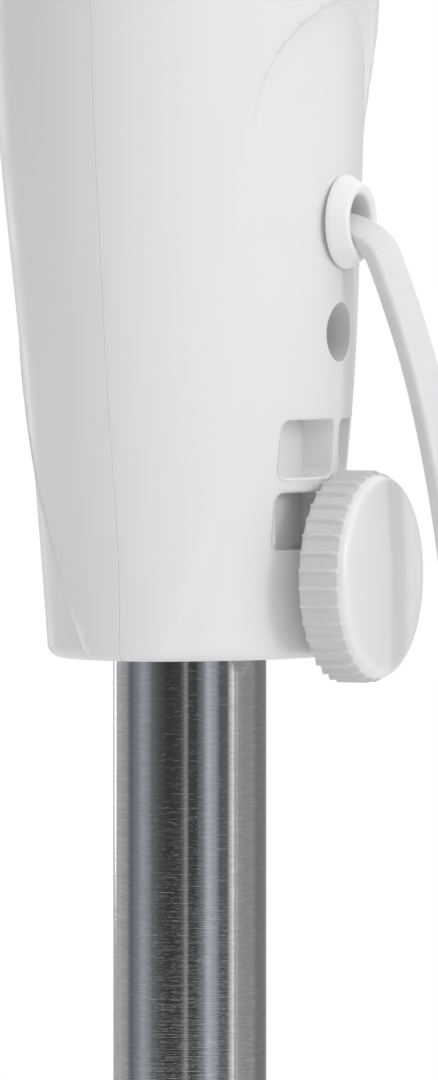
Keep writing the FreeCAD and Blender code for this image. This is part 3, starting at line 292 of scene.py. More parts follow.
class Paint(Nodes):
    """A new material."""

    def __init__(self, name):
        self.material = bpy.data.materials.new(name)
        self.material.use_nodes = True
        super().__init__(self.material.node_tree)
        self.shader = self.tree.nodes["Principled BSDF"]
        self.place = self.node("ShaderNodeTexCoord").outputs["Object"]

    def set(self, **values):
        for name, value in values.items():
            self.shader.inputs[name.replace("_", " ")].default_value = value

    def stretched(self, x, y, z):
        made = self.node("ShaderNodeMapping")
        made.inputs["Scale"].default_value = (x, y, z)
        self.link(self.place, made.inputs["Vector"])
        return made.outputs["Vector"]

    def noise(self, scale, detail=3.0, where=None, roughness=0.5):
        made = self.node("ShaderNodeTexNoise")
        made.inputs["Scale"].default_value = scale
        made.inputs["Detail"].default_value = detail
        made.inputs["Roughness"].default_value = roughness
        self.link(where or self.place, made.inputs["Vector"])
        return made.outputs["Fac"]

    def colour(self, source, one, other):
        self.link(self.mixed(source, (*one, 1), (*other, 1)), self.shader.inputs["Base Color"])

    def roughness(self, source, low, high, first=0.35, last=0.65):
        self.link(self.spread(source, low, high, first, last), self.shader.inputs["Roughness"])

    def bump(self, source, strength, distance):
        made = self.node("ShaderNodeBump")
        made.inputs["Strength"].default_value = strength
        made.inputs["Distance"].default_value = distance
        self.link(source, made.inputs["Height"])
        before = self.shader.inputs["Normal"].links
        if before:
            self.link(before[0].from_socket, made.inputs["Normal"])
        self.link(made.outputs["Normal"], self.shader.inputs["Normal"])


def moulded(name, colour, rough, coat=0.0):
    """Injection moulded plastic: faint flow marks in its gloss and slight sinks in its surface."""
    paint = Paint(name)
    paint.roughness(paint.noise(120, 3), rough - 0.04, rough + 0.05)
    paint.bump(paint.noise(45, 2), 0.03, 0.0006)
    paint.set(Base_Color=(*colour, 1), IOR=1.5, Coat_Weight=coat, Coat_Roughness=0.12)
    return paint.material


def ground_chrome():
    """Chromed steel tube whose grinding before plating still shows as fine rings round it."""
    paint = Paint("ground_chrome")
    fine = paint.noise(1.0, 4, paint.stretched(120, 120, 4200), 0.7)
    broad = paint.noise(1.0, 4, paint.stretched(260, 260, 2000), 0.65)
    paint.colour(paint.spread(broad, 0, 1), (0.69, 0.70, 0.71), (0.57, 0.58, 0.59))
    paint.roughness(broad, 0.04, 0.14, first=0.45, last=0.7)
    paint.bump(fine, 0.20, 0.00004)
    paint.set(Metallic=1.0)
    return paint.material


def metal(name, colour, rough, grain=(400, 400, 400), bump=0.1):
    paint = Paint(name)
    marks = paint.noise(1.0, 3, paint.stretched(*grain))
    paint.colour(paint.spread(marks, 0, 1), colour, tuple(0.85 * c for c in colour))
    paint.roughness(marks, rough - 0.06, rough + 0.08)
    paint.bump(marks, bump, 0.0002)
    paint.set(Metallic=1.0)
    return paint.material


def painted(name, colour, rough):
    paint = Paint(name)
    paint.colour(paint.spread(paint.noise(60, 3), 0, 1), colour, tuple(0.96 * c for c in colour))
    paint.bump(paint.noise(700, 2), 0.05, 0.0002)
    paint.set(Roughness=rough, Coat_Weight=0.4, Coat_Roughness=0.1)
    return paint.material


def rubbery(name, bright, dark, rough):
    paint = Paint(name)
    paint.colour(paint.spread(paint.noise(300, 3), 0, 1), bright, dark)
    paint.roughness(paint.noise(900, 2), rough - 0.05, rough + 0.08)
    paint.bump(paint.noise(1500, 2), 0.08, 0.0001)
    return paint.material


def tinted_blade():
    paint = Paint("tinted_blade")
    paint.colour(paint.spread(paint.noise(25, 3), 0, 1), (0.50, 0.68, 0.80), (0.42, 0.62, 0.76))
    paint.roughness(paint.noise(90, 3), 0.16, 0.26)
    paint.bump(paint.noise(60, 2), 0.04, 0.0006)
    paint.set(IOR=1.5, Transmission_Weight=0.35)
    return paint.material


def pilot_glass():
    paint = Paint("pilot_glass")
    paint.colour(paint.spread(paint.noise(200, 2), 0, 1), (0.8, 0.22, 0.04), (0.7, 0.16, 0.03))
    paint.set(Roughness=0.08, IOR=1.5, Transmission_Weight=0.5)
    return paint.material


WHITE = moulded("white_abs", (0.80, 0.80, 0.81), 0.34)
KNOB_WHITE = moulded("knob_abs", (0.82, 0.82, 0.815), 0.22, coat=0.2)
# The knob's ridged side: the knob's own plastic with a rougher gloss of its own, and a darker colour that is
# painted shade for the side turned from the light.
GRIP_PAINTED_SHADE = moulded("knob_grip_abs_painted_shade", (0.67, 0.665, 0.655), 0.42)
SOFT_WHITE = rubbery("white_pvc", (0.74, 0.745, 0.75), (0.72, 0.725, 0.735), 0.36)
GROMMET_WHITE = moulded("grommet_abs", (0.85, 0.855, 0.86), 0.34)
GREY = moulded("grey_abs", (0.35, 0.36, 0.38), 0.38)
BLACK = moulded("black_nylon", (0.025, 0.025, 0.026), 0.45)
RUBBER = rubbery("black_rubber", (0.03, 0.03, 0.03), (0.045, 0.045, 0.045), 0.6)
CHROME = ground_chrome()
STEEL = metal("zinc_steel", (0.62, 0.63, 0.65), 0.36)
BRASS = metal("brass", (0.75, 0.58, 0.25), 0.36)
IRON = metal("rough_iron", (0.12, 0.12, 0.125), 0.6, bump=0.5)
ALUMINIUM = metal("cast_aluminium", (0.72, 0.73, 0.75), 0.42, bump=0.3)
COPPER = metal("enamelled_copper", (0.62, 0.28, 0.12), 0.36, grain=(900, 900, 900), bump=0.6)
WHITE_PAINT = painted("white_enamel", (0.80, 0.80, 0.81), 0.25)
GUARD_PAINT = painted("guard_enamel", (0.78, 0.79, 0.80), 0.22)
BLADE = tinted_blade()
LAMP = pilot_glass()

BY_SLOT = {
    "white_plastic": WHITE,
    "grip_plastic": KNOB_WHITE,
    "grey_plastic": GREY,
    "black_plastic": BLACK,
    "cord_white": SOFT_WHITE,
    "rubber_black": RUBBER,
    "chrome": CHROME,
    "steel": STEEL,
    "brass": BRASS,
    "iron": IRON,
    "white_paint": WHITE_PAINT,
    "guard_paint": GUARD_PAINT,
    "aluminium": ALUMINIUM,
    "copper": COPPER,
    "blade_plastic": BLADE,
    "lamp": LAMP,
}


def finish_cad_nodes():
    """Gives each carried-over CAD node the material of its slot in the record."""
    for part in frame["record"]["subparts"]:
        node = frame["nodes"][part["node"]]
        material = BY_SLOT[part["material_slot"]]
        node.data.materials.clear()
        node.data.materials.append(material)


# ---------------------------------------------------------------- control housing

HALF_WIDTH, FRONT, BACK, PROUD = (smooth_curve(SECTIONS[:, 0], SECTIONS[:, k]) for k in (1, 2, 3, 4))
CREASE_X = smooth_curve(CREASE_LINE[:, 0], CREASE_LINE[:, 1])
ALONG_LOW = EDGE_LOW * (1 - math.pi / 2)
ALONG_HIGH = HOUSING_TALL - EDGE_HIGH * (1 - math.pi / 2)


def edge_profile(along):
    """Height and inset at a distance along the housing's wall, round its bottom and top edges."""
    low = np.clip((EDGE_LOW - along) / EDGE_LOW, 0, math.pi / 2)
    high = np.clip((along - (HOUSING_TALL - EDGE_HIGH)) / EDGE_HIGH, 0, math.pi / 2)
    height = np.where(along < EDGE_LOW, EDGE_LOW * (1 - np.sin(low)), along)
    height = np.where(high > 0, HOUSING_TALL - EDGE_HIGH * (1 - np.sin(high)), height)
    return height, EDGE_LOW * (1 - np.cos(low)) + EDGE_HIGH * (1 - np.cos(high))


def to_domain(x, height, side):
    """The place of a point at this x and height on a shell's flat map: angle round from +X, and height."""
    share = np.clip(np.asarray(x, float) / HALF_WIDTH(height), -1, 1)
    angle = np.arccos(np.clip(power(share, SQUARENESS[side] / 2), -1, 1))
    return np.column_stack([angle * SPREAD, np.asarray(height, float)])


def spaced(line, step):
    """The same line with points about step apart."""
    ways = ways_along(line)
    at = np.linspace(0, ways[-1], max(2, int(ways[-1] / step)))
    return np.column_stack([np.interp(at, ways, line[:, k]) for k in range(2)])


def arch_outline():
    """The arched recess on the back: the creases up both sides and half an ellipse on top, in the domain."""
    legs = np.linspace(0, ARCH_SPRING, 60)
    turn = np.linspace(0, math.pi, 90)
    x = np.concatenate([CREASE_X(legs), ARCH_HALF * np.cos(turn[1:-1]), -CREASE_X(legs[::-1])])
    z = np.concatenate([legs, ARCH_SPRING + ARCH_RISE * np.sin(turn[1:-1]), legs[::-1]])
    return spaced(with_feet(to_domain(x, z, 1)), 0.45)


def chin_outline():
    """The arch on the lower front, in the domain: two straight legs and the circle that touches both."""
    lean = math.atan(CHIN_LEAN)
    radius = (CHIN_FOOT - CHIN_LEAN * CHIN_CENTRE) * math.cos(lean)
    turn = np.linspace(lean, math.pi - lean, 120)
    legs = np.linspace(0, CHIN_CENTRE + radius * math.sin(lean), 50)[:-1]
    leg_x = CHIN_FOOT - CHIN_LEAN * legs
    x = np.concatenate([leg_x, radius * np.cos(turn), -leg_x[::-1]])
    z = np.concatenate([legs, CHIN_CENTRE + radius * np.sin(turn), legs[::-1]])
    return spaced(with_feet(to_domain(x, z, -1)), 0.6)


def with_feet(line):
    """The line with both ends carried straight down below the housing."""
    first, last = line[0].copy(), line[-1].copy()
    first[1] = last[1] = ALONG_LOW - 6
    return np.vstack([first, line, last])


def inside_loop(points, loop):
    """Which of the points lie inside the closed loop."""
    ends = np.vstack([loop, loop[:1]])
    crossings = np.zeros(len(points), int)
    for (x0, y0), (x1, y1) in zip(ends[:-1], ends[1:]):
        spans = (y0 > points[:, 1]) != (y1 > points[:, 1])
        crossings += spans & (points[:, 0] < x0 + (x1 - x0) * (points[:, 1] - y0) / (y1 - y0 + 1e-15))
    return crossings % 2 == 1


def distance_inside(points, line):
    """Distance of domain points from an arch's line: positive inside the arch and negative outside it."""
    ways = np.diff(line, axis=0)
    squares = np.maximum((ways**2).sum(1), 1e-12)
    nearest = np.full(len(points), np.inf)
    for start, way, square in zip(line, ways, squares):
        share = np.clip(((points - start) @ way) / square, 0, 1)
        nearest = np.minimum(nearest, ((points - start - share[:, None] * way) ** 2).sum(1))
    return np.sqrt(nearest) * np.where(inside_loop(points, line), 1, -1)


ARCH = arch_outline()
CHIN = chin_outline()


def housing_points(domain, side):
    """Points of the housing's outside, side 1 for the rear shell and -1 for the front shell."""
    angle, along = domain[:, 0] / SPREAD, domain[:, 1]
    height, inset = edge_profile(along)
    if side > 0:
        inside = distance_inside(domain, ARCH)
        wide = CREASE_WIDE + (ARCH_RAMP - CREASE_WIDE) * ramp(height, *ARCH_NARROWS)
        outside = ramp(-inside, -ARCH_LIP * wide, wide)
        depth = BACK(height) + PROUD(height) * outside
        soft = ramp(inside, -0.5 * CREASE_WIDE, 0.5 * CREASE_WIDE)
        fade_low, fade_high = CREASE_FADES
        inset = inset + CREASE_DEEP * soft * ramp(-height, -fade_high, -fade_low) + SEAM_STEP
    else:
        inside = distance_inside(domain, CHIN)
        depth = FRONT(height)
        inset = inset + CHIN_DEEP * ramp(inside, -CHIN_RAMP / 2, CHIN_RAMP / 2)
        inset = inset - CHIN_LIP * np.exp(-(((inside + CHIN_RAMP / 2) / (CHIN_RAMP / 2)) ** 2))
    edge = SEAM_GAP + SEAM_ROUND
    x = (HALF_WIDTH(height) - inset) * power(np.cos(angle), 2 / SQUARENESS[side])
    y = edge + (depth - inset - edge) * np.maximum(np.sin(angle), 0) ** (2 / SQUARENESS[side])
    return np.column_stack([x, side * y, height])


def housing_normals(domain, side):
    """Outward directions on the housing's outside, from a small step each way on the flat map."""
    step, margin = 0.02, 0.03
    u, v = np.array([step, 0]), np.array([0, step])
    inner = np.clip(domain, [margin, -np.inf], [math.pi * SPREAD - margin, np.inf])
    along_u = housing_points(inner + u, side) - housing_points(inner - u, side)
    along_v = housing_points(inner + v, side) - housing_points(inner - v, side)
    return unit(side * np.cross(along_u, along_v))


class Opening:
    """A hole in a shell: its outline seen along Y, and the outward direction at each of its points.

    mouth is the rounding of its edge, and floor gives the depth of its floor at an x, or is None.
    """

    def __init__(self, outline, normals, mouth, floor=None):
        self.outline, self.normals = np.array(outline), np.array(normals)
        self.mouth, self.floor = mouth, floor

    def loop(self, away):
        return self.outline + self.normals * away


def round_opening(rise, radius, mouth, floor=None):
    """A round opening on the shell's middle line, at a height above the housing's bottom."""
    turn = np.linspace(0, 2 * math.pi, 72, endpoint=False)
    normals = np.column_stack([np.cos(turn), np.sin(turn)])
    return Opening(normals * radius + (0, rise), normals, mouth, floor)


def square_opening(x0, x1, z0, z1, corner, mouth, floor):
    """An opening with rounded corners: four arcs and the straight runs between them."""
    points, normals = [], []
    corners = ((x1 - corner, z1 - corner, 0), (x0 + corner, z1 - corner, 90))
    corners += ((x0 + corner, z0 + corner, 180), (x1 - corner, z0 + corner, 270))
    for (cx, cz, first), (nx, nz, _) in zip(corners, corners[1:] + corners[:1]):
        turns = np.radians(np.linspace(first, first + 90, 9))
        arc = np.column_stack([np.cos(turns), np.sin(turns)])
        points.extend(arc * corner + (cx, cz))
        normals.extend(arc)
        run = int(max(abs(nx - cx), abs(nz - cz)) / 0.7)
        for i in range(1, run):
            points.append(np.array((cx, cz)) + (np.array((nx, nz)) - (cx, cz)) * i / run + arc[-1] * corner)
            normals.append(arc[-1])
    return Opening(points, normals, mouth, floor)


def pocket_floor(outer, wide, rise):
    """Depth of a pocket's floor, which curls up towards its outer side."""

    def floor(x):
        near = np.clip((np.abs(x) - (outer - wide)) / wide, 0, 1)
        return POCKET_FLOOR + rise * (1 - np.sqrt(1 - near**2))

    return floor


def rear_openings():
    """The four pockets, the screw's well, and the holes for the grommet and the knob's stud."""
    inner, outer = POCKET_SIDES
    found = []
    for side in (-1, 1):
        x0, x1 = sorted((side * inner, side * outer))
        for low, high, wide, rise in POCKET_ROWS:
            floor = pocket_floor(outer + 0.1, wide, rise)
            found.append(square_opening(x0, x1, low, high, POCKET_CORNER, POCKET_MOUTH, floor))
    found.append(round_opening(SCREW_RISE, SCREW_WELL, mouth=0.35, floor=lambda x: 0 * x + SCREW_SEAT))
    found.append(round_opening(GROMMET_RISE, GROMMET_HOLE, mouth=0.2))
    found.append(round_opening(KNOB_RISE, STUD_HOLE, mouth=0.3))
    return found


def clear_of(points, lines, room):
    """Only the points further than room from every line."""
    keep = np.ones(len(points), bool)
    for line in lines:
        for corner in line:
            keep &= ((points - corner) ** 2).sum(1) > room**2
    return points[keep]


def triangles(points, chains):
    """Delaunay triangles over points and chains of points, with the chains kept as edges."""
    coords, edges = [Vector(p) for p in points], []
    for chain, closed in chains:
        first = len(coords)
        coords.extend(Vector(p) for p in chain)
        edges.extend((first + i, first + i + 1) for i in range(len(chain) - 1))
        if closed:
            edges.append((first + len(chain) - 1, first))
    corners, _, faces = delaunay_2d_cdt(coords, edges, [], 0, 1e-6)[:3]
    return np.array([tuple(c) for c in corners]), [tuple(f) for f in faces]


def offset_line(line, away):
    """The line moved sideways, towards the inside of its arch."""
    way = unit(np.gradient(line, axis=0))
    return line + np.column_stack([-way[:, 1], way[:, 0]]) * away


def step_lines(side):
    """Lines that follow the step round a shell's arch, on both sides of it."""
    if side > 0:
        line = ARCH[ARCH[:, 1] > ARCH_NARROWS[0] - 2]
        offsets = -np.linspace(-0.3 * ARCH_RAMP, 1.15 * ARCH_RAMP, 14)
    else:
        line = CHIN[CHIN[:, 1] > ALONG_LOW + 0.3]
        offsets = np.linspace(-1.6 * CHIN_RAMP, 0.8 * CHIN_RAMP, 11)
    return [offset_line(line, away) for away in offsets]


def rows_and_columns():
    """Places of the mesh's rows up the wall and of its columns round it, closer together at the edges."""
    wall_top = HOUSING_TALL - EDGE_HIGH
    bottom_edge = np.linspace(ALONG_LOW, EDGE_LOW, 9)
    wall = np.arange(EDGE_LOW + 1, wall_top - 0.8, CELL)
    top_edge = np.linspace(wall_top, ALONG_HIGH, 12)
    wide = math.pi * SPREAD
    between = np.arange(1.6, wide - 1.2, CELL)
    columns = np.concatenate([[0, 0.3, 0.8], between, [wide - 0.8, wide - 0.3, wide]])
    return np.concatenate([bottom_edge, wall, top_edge]), columns


def add_skin(surface, side, openings, rows, columns):
    """The shell's outside, with mesh lines along its step and round its openings."""
    lines = step_lines(side)
    loops = []
    for opening in openings:
        ring = opening.loop(opening.mouth)
        loops.append(to_domain(ring[:, 0], ring[:, 1], side))
    grid = np.array([(u, v) for v in rows[1:-1] for u in columns[1:-1]])
    grid = clear_of(grid, lines[::2] + lines[-1:] + loops, 0.55 * CELL)
    for loop in loops:
        grid = grid[~inside_loop(grid, loop)]
    rim = [(u, v) for v in (rows[0], rows[-1]) for u in columns]
    rim += [(u, v) for v in rows[1:-1] for u in (columns[0], columns[-1])]
    chains = [(line, False) for line in lines] + [(loop, True) for loop in loops]
    corners, faces = triangles(np.vstack([grid, rim]), chains)
    centres = np.array([corners[list(f)].mean(0) for f in faces])
    drop = np.zeros(len(faces), bool)
    for loop in loops:
        drop |= inside_loop(centres, loop)
    first = surface.add(housing_points(corners, side), housing_normals(corners, side))[0]
    surface.faces.extend(tuple(first + i for i in f) for f, gone in zip(faces, drop) if not gone)


def add_opening(surface, opening):
    """The rounded mouth, the walls and any floor of an opening in the rear shell."""
    inward = -np.column_stack([opening.normals[:, 0], np.zeros(len(opening.normals)), opening.normals[:, 1]])
    before = None
    for turn in np.linspace(0, math.pi / 2, 7):
        ring = opening.loop(opening.mouth * (1 - math.sin(turn)))
        domain = to_domain(ring[:, 0], ring[:, 1], 1)
        points = housing_points(domain, 1)
        points[:, 0], points[:, 2] = ring[:, 0], ring[:, 1]
        points[:, 1] -= opening.mouth * (1 - math.cos(turn))
        normals = math.cos(turn) * housing_normals(domain, 1) + math.sin(turn) * inward
        now = surface.add(points, normals)
        if before is not None:
            surface.strip(before, now, closed=True)
        before = now
    x, z = opening.outline.T
    deep = opening.floor(x) if opening.floor else np.full(len(x), SHAFT_FLOOR)
    surface.strip(before, surface.add(np.column_stack([x, deep, z]), inward), closed=True)
    if opening.floor:
        add_floor(surface, opening)


def add_floor(surface, opening):
    """The floor of an opening, from its outline and a grid of points inside it."""
    cell, step = 0.6, 0.02
    low, high = opening.outline.min(0), opening.outline.max(0)
    cells_x, cells_z = np.arange(low[0], high[0], cell), np.arange(low[1], high[1], cell)
    cells = np.array([(x, z) for x in cells_x for z in cells_z])
    cells = clear_of(cells[inside_loop(cells, opening.outline)], [opening.outline], cell / 2)
    corners, faces = triangles(cells, [(opening.outline, True)])
    x, z = corners.T
    slope = (opening.floor(x + step) - opening.floor(x - step)) / (2 * step)
    normals = np.column_stack([-slope, np.ones(len(x)), np.zeros(len(x))])
    first = surface.add(np.column_stack([x, opening.floor(x), z]), normals)[0]
    surface.faces.extend(tuple(first + i for i in f) for f in faces)


def add_ends(surface, side, columns):
    """The flat bottom round the pole and the flat top round the neck post."""
    for along, radius, facing in ((ALONG_LOW, POLE_HOLE, -1), (ALONG_HIGH, POST_HOLE, 1)):
        angle = columns / SPREAD
        outer = housing_points(np.column_stack([columns, np.full(len(columns), along)]), side)
        inner = np.column_stack([radius * np.cos(angle), side * radius * np.sin(angle), outer[:, 2]])
        one = surface.add(outer, (0, 0, facing))
        other = surface.add(inner, (0, 0, facing))
        surface.strip(one, other)
        inwards = -np.column_stack([np.cos(angle), side * np.sin(angle), 0 * angle])
        top = surface.add(inner, inwards)
        deep = surface.add(inner - (0, 0, END_THICK * facing), inwards)
        surface.strip(top, deep)


def add_seams(surface, side, rows):
    """The rounded edges along the parting plane and the joint faces behind them."""
    for wide, turned in ((0, 1), (math.pi * SPREAD, -1)):
        domain = np.column_stack([np.full(len(rows), wide), rows])
        edge = housing_points(domain, side)
        before = None
        for turn in np.linspace(0, math.pi / 2, 6):
            moved = edge.copy()
            moved[:, 0] -= turned * SEAM_ROUND * (1 - math.cos(turn))
            moved[:, 1] = side * (SEAM_GAP + SEAM_ROUND * (1 - math.sin(turn)))
            now = surface.add(moved, (turned * math.cos(turn), -side * math.sin(turn), 0))
            if before is not None:
                surface.strip(before, now)
            before = now
        flat = surface.add(moved, (0, -side, 0))
        inner = moved.copy()
        inner[:, 0] -= turned * SHELL_INSIDE
        surface.strip(flat, surface.add(inner, (0, -side, 0)))


def make_shell(name, side, openings):
    """One shell of the control housing, side 1 for the rear one and -1 for the front one."""
    surface = Surface()
    rows, columns = rows_and_columns()
    add_skin(surface, side, openings, rows, columns)
    for opening in openings:
        add_opening(surface, opening)
    add_ends(surface, side, columns)
    add_seams(surface, side, rows)
    shell = surface.build(name, "mast", WHITE, HOUSING_FOOT)
    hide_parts(name)


# ---------------------------------------------------------------- clamp knob, grommet and pole

KNOB_CREST, KNOB_VALLEY, KNOB_RIDGES = 17.4, 16.65, 36  # radii over and between the ridges, and their count
RIDGE_WIDE = 0.36  # from a ridge's crest to about a third of its height
KNOB_GRIP = 6.9  # length of the ridged side
KNOB_RIM, KNOB_RIM_ROUND, KNOB_DOME = 15.3, 1.3, 0.5  # the face's edge, its rounding, and the face's rise


def knob_profile(back, grip_end):
    """From the back to the face: radius, distance along the axis, and the ridges' share of their height."""
    valley = KNOB_VALLEY
    profile = [(6.0, back, 0), (16.3, back, 0), (16.5, back + 0.1, 0.5), (valley, back + 0.3, 1)]
    profile += [(valley, back + 1.2 + 0.4 * i, 1) for i in range(11)]
    profile += [(valley, grip_end - 1.2, 1), (valley, grip_end - 0.8, 0.85), (valley, grip_end - 0.4, 0.6)]
    profile += [(valley, grip_end, 0.3)]
    rim_centre = (KNOB_RIM, grip_end + 0.1)
    profile += [(radius, away, 0) for radius, away in rounding(rim_centre, KNOB_RIM_ROUND, 4, 80, 9)]
    edge, face = profile[-1][:2]
    inward = [i / 12 for i in range(1, 12)]
    profile += [(edge * (1 - part), face + KNOB_DOME * (1 - (1 - part) ** 2), 0) for part in inward]
    return profile + [(0.01, face + KNOB_DOME, 0)]


def make_clamp_knob():
    """The thumb knob: fine ridges round its side and a smooth, slightly domed face."""
    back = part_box("clamp_knob")[0].y / MM
    grip_end = back + KNOB_GRIP
    centre = Vector((0, 0, HOUSING_FOOT + KNOB_RISE * MM))
    per_ridge = 22
    around = KNOB_RIDGES * per_ridge
    rings = []
    for plain_radius, away, ridged in knob_profile(back, grip_end):
        ring = []
        for i in range(around):
            turn = 2 * math.pi * i / around
            off_crest = ((i % per_ridge) / per_ridge - 0.5) * 2 * math.pi * KNOB_CREST / KNOB_RIDGES
            ridge = (KNOB_CREST - KNOB_VALLEY) * math.exp(-((off_crest / RIDGE_WIDE) ** 2))
            radius = plain_radius + ridged * ridge
            spot = Vector((radius * math.cos(turn) * MM, away * MM, radius * math.sin(turn) * MM))
            ring.append(spot + centre)
        rings.append(ring)
    mesh = joined_rings("clamp_knob_shape", rings, merge=5e-6, sharp=50)
    knob = new_object("clamp_knob_shape", mesh, "clamp_knob", KNOB_WHITE)
    # Painted shade: the ridged side takes the darker copy of the knob's plastic.
    knob.data.materials.append(GRIP_PAINTED_SHADE)
    for face in knob.data.polygons:
        face.material_index = int(face.center.y < grip_end * MM)
    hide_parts("clamp_knob")


def make_grommet():
    """The cord's grommet: a rounded flange round its hole."""
    profile = [(5.6, 17), (5.6, 27.6), (7.6, 27.6), (7.75, 27.8), (7.75, 28.2), (7.6, 28.6)]
    profile += rounding((5.55, 30.05), 0.95, 24, 90, 8)
    profile += rounding((5.5, 30.0), 1.0, 96, 170, 8)
    profile += [(4.55, 29.0), (4.5, 17), (5.6, 17)]
    centre = (0, 0, HOUSING_FOOT + GROMMET_RISE * MM)
    name = "cord_grommet_shape"
    grommet = lathe(name, profile, centre, "Y", "mast", GROMMET_WHITE, steps=160)
    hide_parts("cord_grommet")


def make_pole():
    """The chromed upper pole, with rings of points along it."""
    low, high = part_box("upper_pole")
    wall, lengths = 1.2, 24
    outer, foot, top = (high.x - low.x) / 2 / MM, low.z / MM, high.z / MM
    profile = [(outer - wall, foot)]
    profile += [(outer, foot + (top - foot) * i / lengths) for i in range(lengths + 1)]
    profile += [(outer - wall, top), (outer - wall, foot)]
    pole = lathe("upper_pole_shape", profile, (0, 0, 0), "Z", "mast", CHROME, steps=256)
    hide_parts("upper_pole")


# ---------------------------------------------------------------- mains cord

CORD_WIDE, CORD_THICK, CORD_ROUND = 5.8, 3.2, 0.8
CORD_TWIST = math.radians(28)
COIL_TURNS = ((35.0, 2.95), (31.1, 2.95), (31.1, 8.8), (35.0, 8.8))  # radius and height of each turn
COIL_POINTS = 16  # for each turn


def hanging_route():
    """From inside the grommet down to the floor, in metres, as in the CAD model."""
    foot = HOUSING_FOOT / MM
    route = [
        (16.5, foot + 71.5),
        (32.2, foot + 71.6),
        (37.0, foot + 60.5),
        (42.2, foot + 45),
        (46.7, foot + 24),
        (50.5, foot - 6),
        (53.5, foot - 60),
        (54, foot - 140),
        (52.5, foot - 220),
        (53, foot - 300),
        (55.5, foot - 380),
        (59, foot - 460),
        (61, foot - 540),
        (64, foot - 615),
        (69, 126),
        (77, 86),
        (90, 59),
        (110, 40),
        (136, 31),
        (168, 24),
        (189, 18),
        (201, 11),
        (212, 5),
        (226, 3.2),
    ]
    return [Vector((0, behind * MM, height * MM)) for behind, height in route]


def coil_route():
    """The put-away turns, wound outwards in, up and out again beside the plug."""
    low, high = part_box("cord_coil")
    centre = (low + high) / 2
    radii = [r for r, _ in COIL_TURNS]
    heights = [h for _, h in COIL_TURNS]
    points = []
    for i in range(len(COIL_TURNS) * COIL_POINTS):
        turn, part = divmod(i / COIL_POINTS, 1)
        turn = int(turn)
        after = min(turn + 1, len(COIL_TURNS) - 1)
        share = float(ramp(part, 0.7, 1.0))
        radius = (radii[turn] + (radii[after] - radii[turn]) * share) * MM
        height = (heights[turn] + (heights[after] - heights[turn]) * share) * MM
        angle = 2 * math.pi * part
        x, y = centre.x + radius * math.cos(angle), centre.y + radius * math.sin(angle)
        points.append(Vector((x, y, height)))
    return points


def tail_route():
    """From the top of the coil round to the plug's cord end."""
    low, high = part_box("plug_body")
    x, y, z = (low.x + high.x) / 2 / MM, high.y / MM, (low.z + high.z) / 2 / MM
    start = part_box("cord_coil")[1].x / MM - 2.6
    points = [
        (start, y + 6, 8.0),
        (start + 3, y + 20, 5.2),
        (start + 12, y + 32, 3.0),
        (start + 27, y + 37, 2.95),
        (x - 14, y + 34, 2.95),
        (x - 3, y + 24, 3.0),
        (x, y + 13, 4.6),
        (x, y + 5, z),
        (x, y - 1.5, z),
    ]
    return [Vector(p) * MM for p in points]


def followed(route):
    """The smooth line of a NURBS curve with the route's points as its control points."""
    curve = bpy.data.curves.new("cord_line", "CURVE")
    curve.dimensions = "3D"
    spline = curve.splines.new("NURBS")
    spline.points.add(len(route) - 1)
    for point, spot in zip(spline.points, route):
        point.co = (*spot, 1)
    spline.order_u = 3
    spline.use_endpoint_u = True
    spline.resolution_u = 8
    holder = bpy.data.objects.new("cord_line", curve)
    mesh = bpy.data.meshes.new_from_object(holder)
    line = np.array([v.co for v in mesh.vertices])
    bpy.data.objects.remove(holder)
    bpy.data.meshes.remove(mesh)
    bpy.data.curves.remove(curve)
    keep = np.concatenate([[True], np.linalg.norm(np.diff(line, axis=0), axis=1) > 1e-6])
    return line[keep]


def flat_section():
    """Outline of the flat two-core cord, wide way first."""
    points = []
    for cx, cy, first in ((1, 1, 0), (-1, 1, 90), (-1, -1, 180), (1, -1, 270)):
        middle = (cx * (CORD_WIDE / 2 - CORD_ROUND), cy * (CORD_THICK / 2 - CORD_ROUND))
        points += rounding(middle, CORD_ROUND, first, first + 90, 4)
    return np.array(points) * MM


def cord_rings(line, ways, floor_at, coil_end):
    """The cord's outline along its line: on its edge on the floor and in the coil, and flat at the plug."""
    section = flat_section()
    rings = []
    for spot, ahead, at in zip(line, unit(np.gradient(line, axis=0)), ways):
        on_floor = float(ramp(at, floor_at, floor_at + 0.035))
        twist = CORD_TWIST + (math.pi / 2 - CORD_TWIST) * on_floor
        twist *= 1 - float(ramp(at, coil_end + 0.02, ways[-1] - 0.01))
        aside = np.cross(ahead, (0, 0, 1)) if on_floor > 0 else np.array([1.0, 0, 0])
        aside = unit(aside - ahead * (aside @ ahead))
        above = np.cross(aside, ahead)
        thin = math.cos(twist) * above + math.sin(twist) * aside
        wide = np.cross(ahead, thin)
        rings.append(spot + section[:, :1] * wide + section[:, 1:] * thin)
    return rings


def closed_tube(name, rings):
    """A mesh through the rings, with both ends closed."""
    count = len(rings[0])
    last = (len(rings) - 1) * count
    faces = []
    for first in range(0, last, count):
        for j in range(count):
            k = (j + 1) % count
            faces.append((first + j, first + k, first + count + k, first + count + j))
    faces.append(tuple(range(count))[::-1])
    faces.append(tuple(last + j for j in range(count)))
    mesh = bpy.data.meshes.new(name)
    mesh.from_pydata([tuple(p) for ring in rings for p in ring], [], faces)
    mesh.polygons.foreach_set("use_smooth", [True] * len(mesh.polygons))
    mesh.set_sharp_from_angle(angle=math.radians(50))
    return mesh


def make_cord():
    """The whole mains cord as one piece, from inside the housing to the plug."""
    hang, coil, tail = hanging_route(), coil_route(), tail_route()
    line = followed(hang + coil + tail)
    ways = ways_along(line)
    floor_at = ways[np.argmin(np.linalg.norm(line - np.array(hang[-3]), axis=1))]
    coil_end = ways[np.argmin(np.linalg.norm(line - np.array(tail[0]), axis=1))]
    mesh = closed_tube("mains_cord", cord_rings(line, ways, floor_at, coil_end))
    cord = new_object("mains_cord", mesh, None, SOFT_WHITE)
    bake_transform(cord)
    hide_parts("cord_drop", "cord_floor", "cord_coil")


# ---------------------------------------------------------------- stage, light and camera


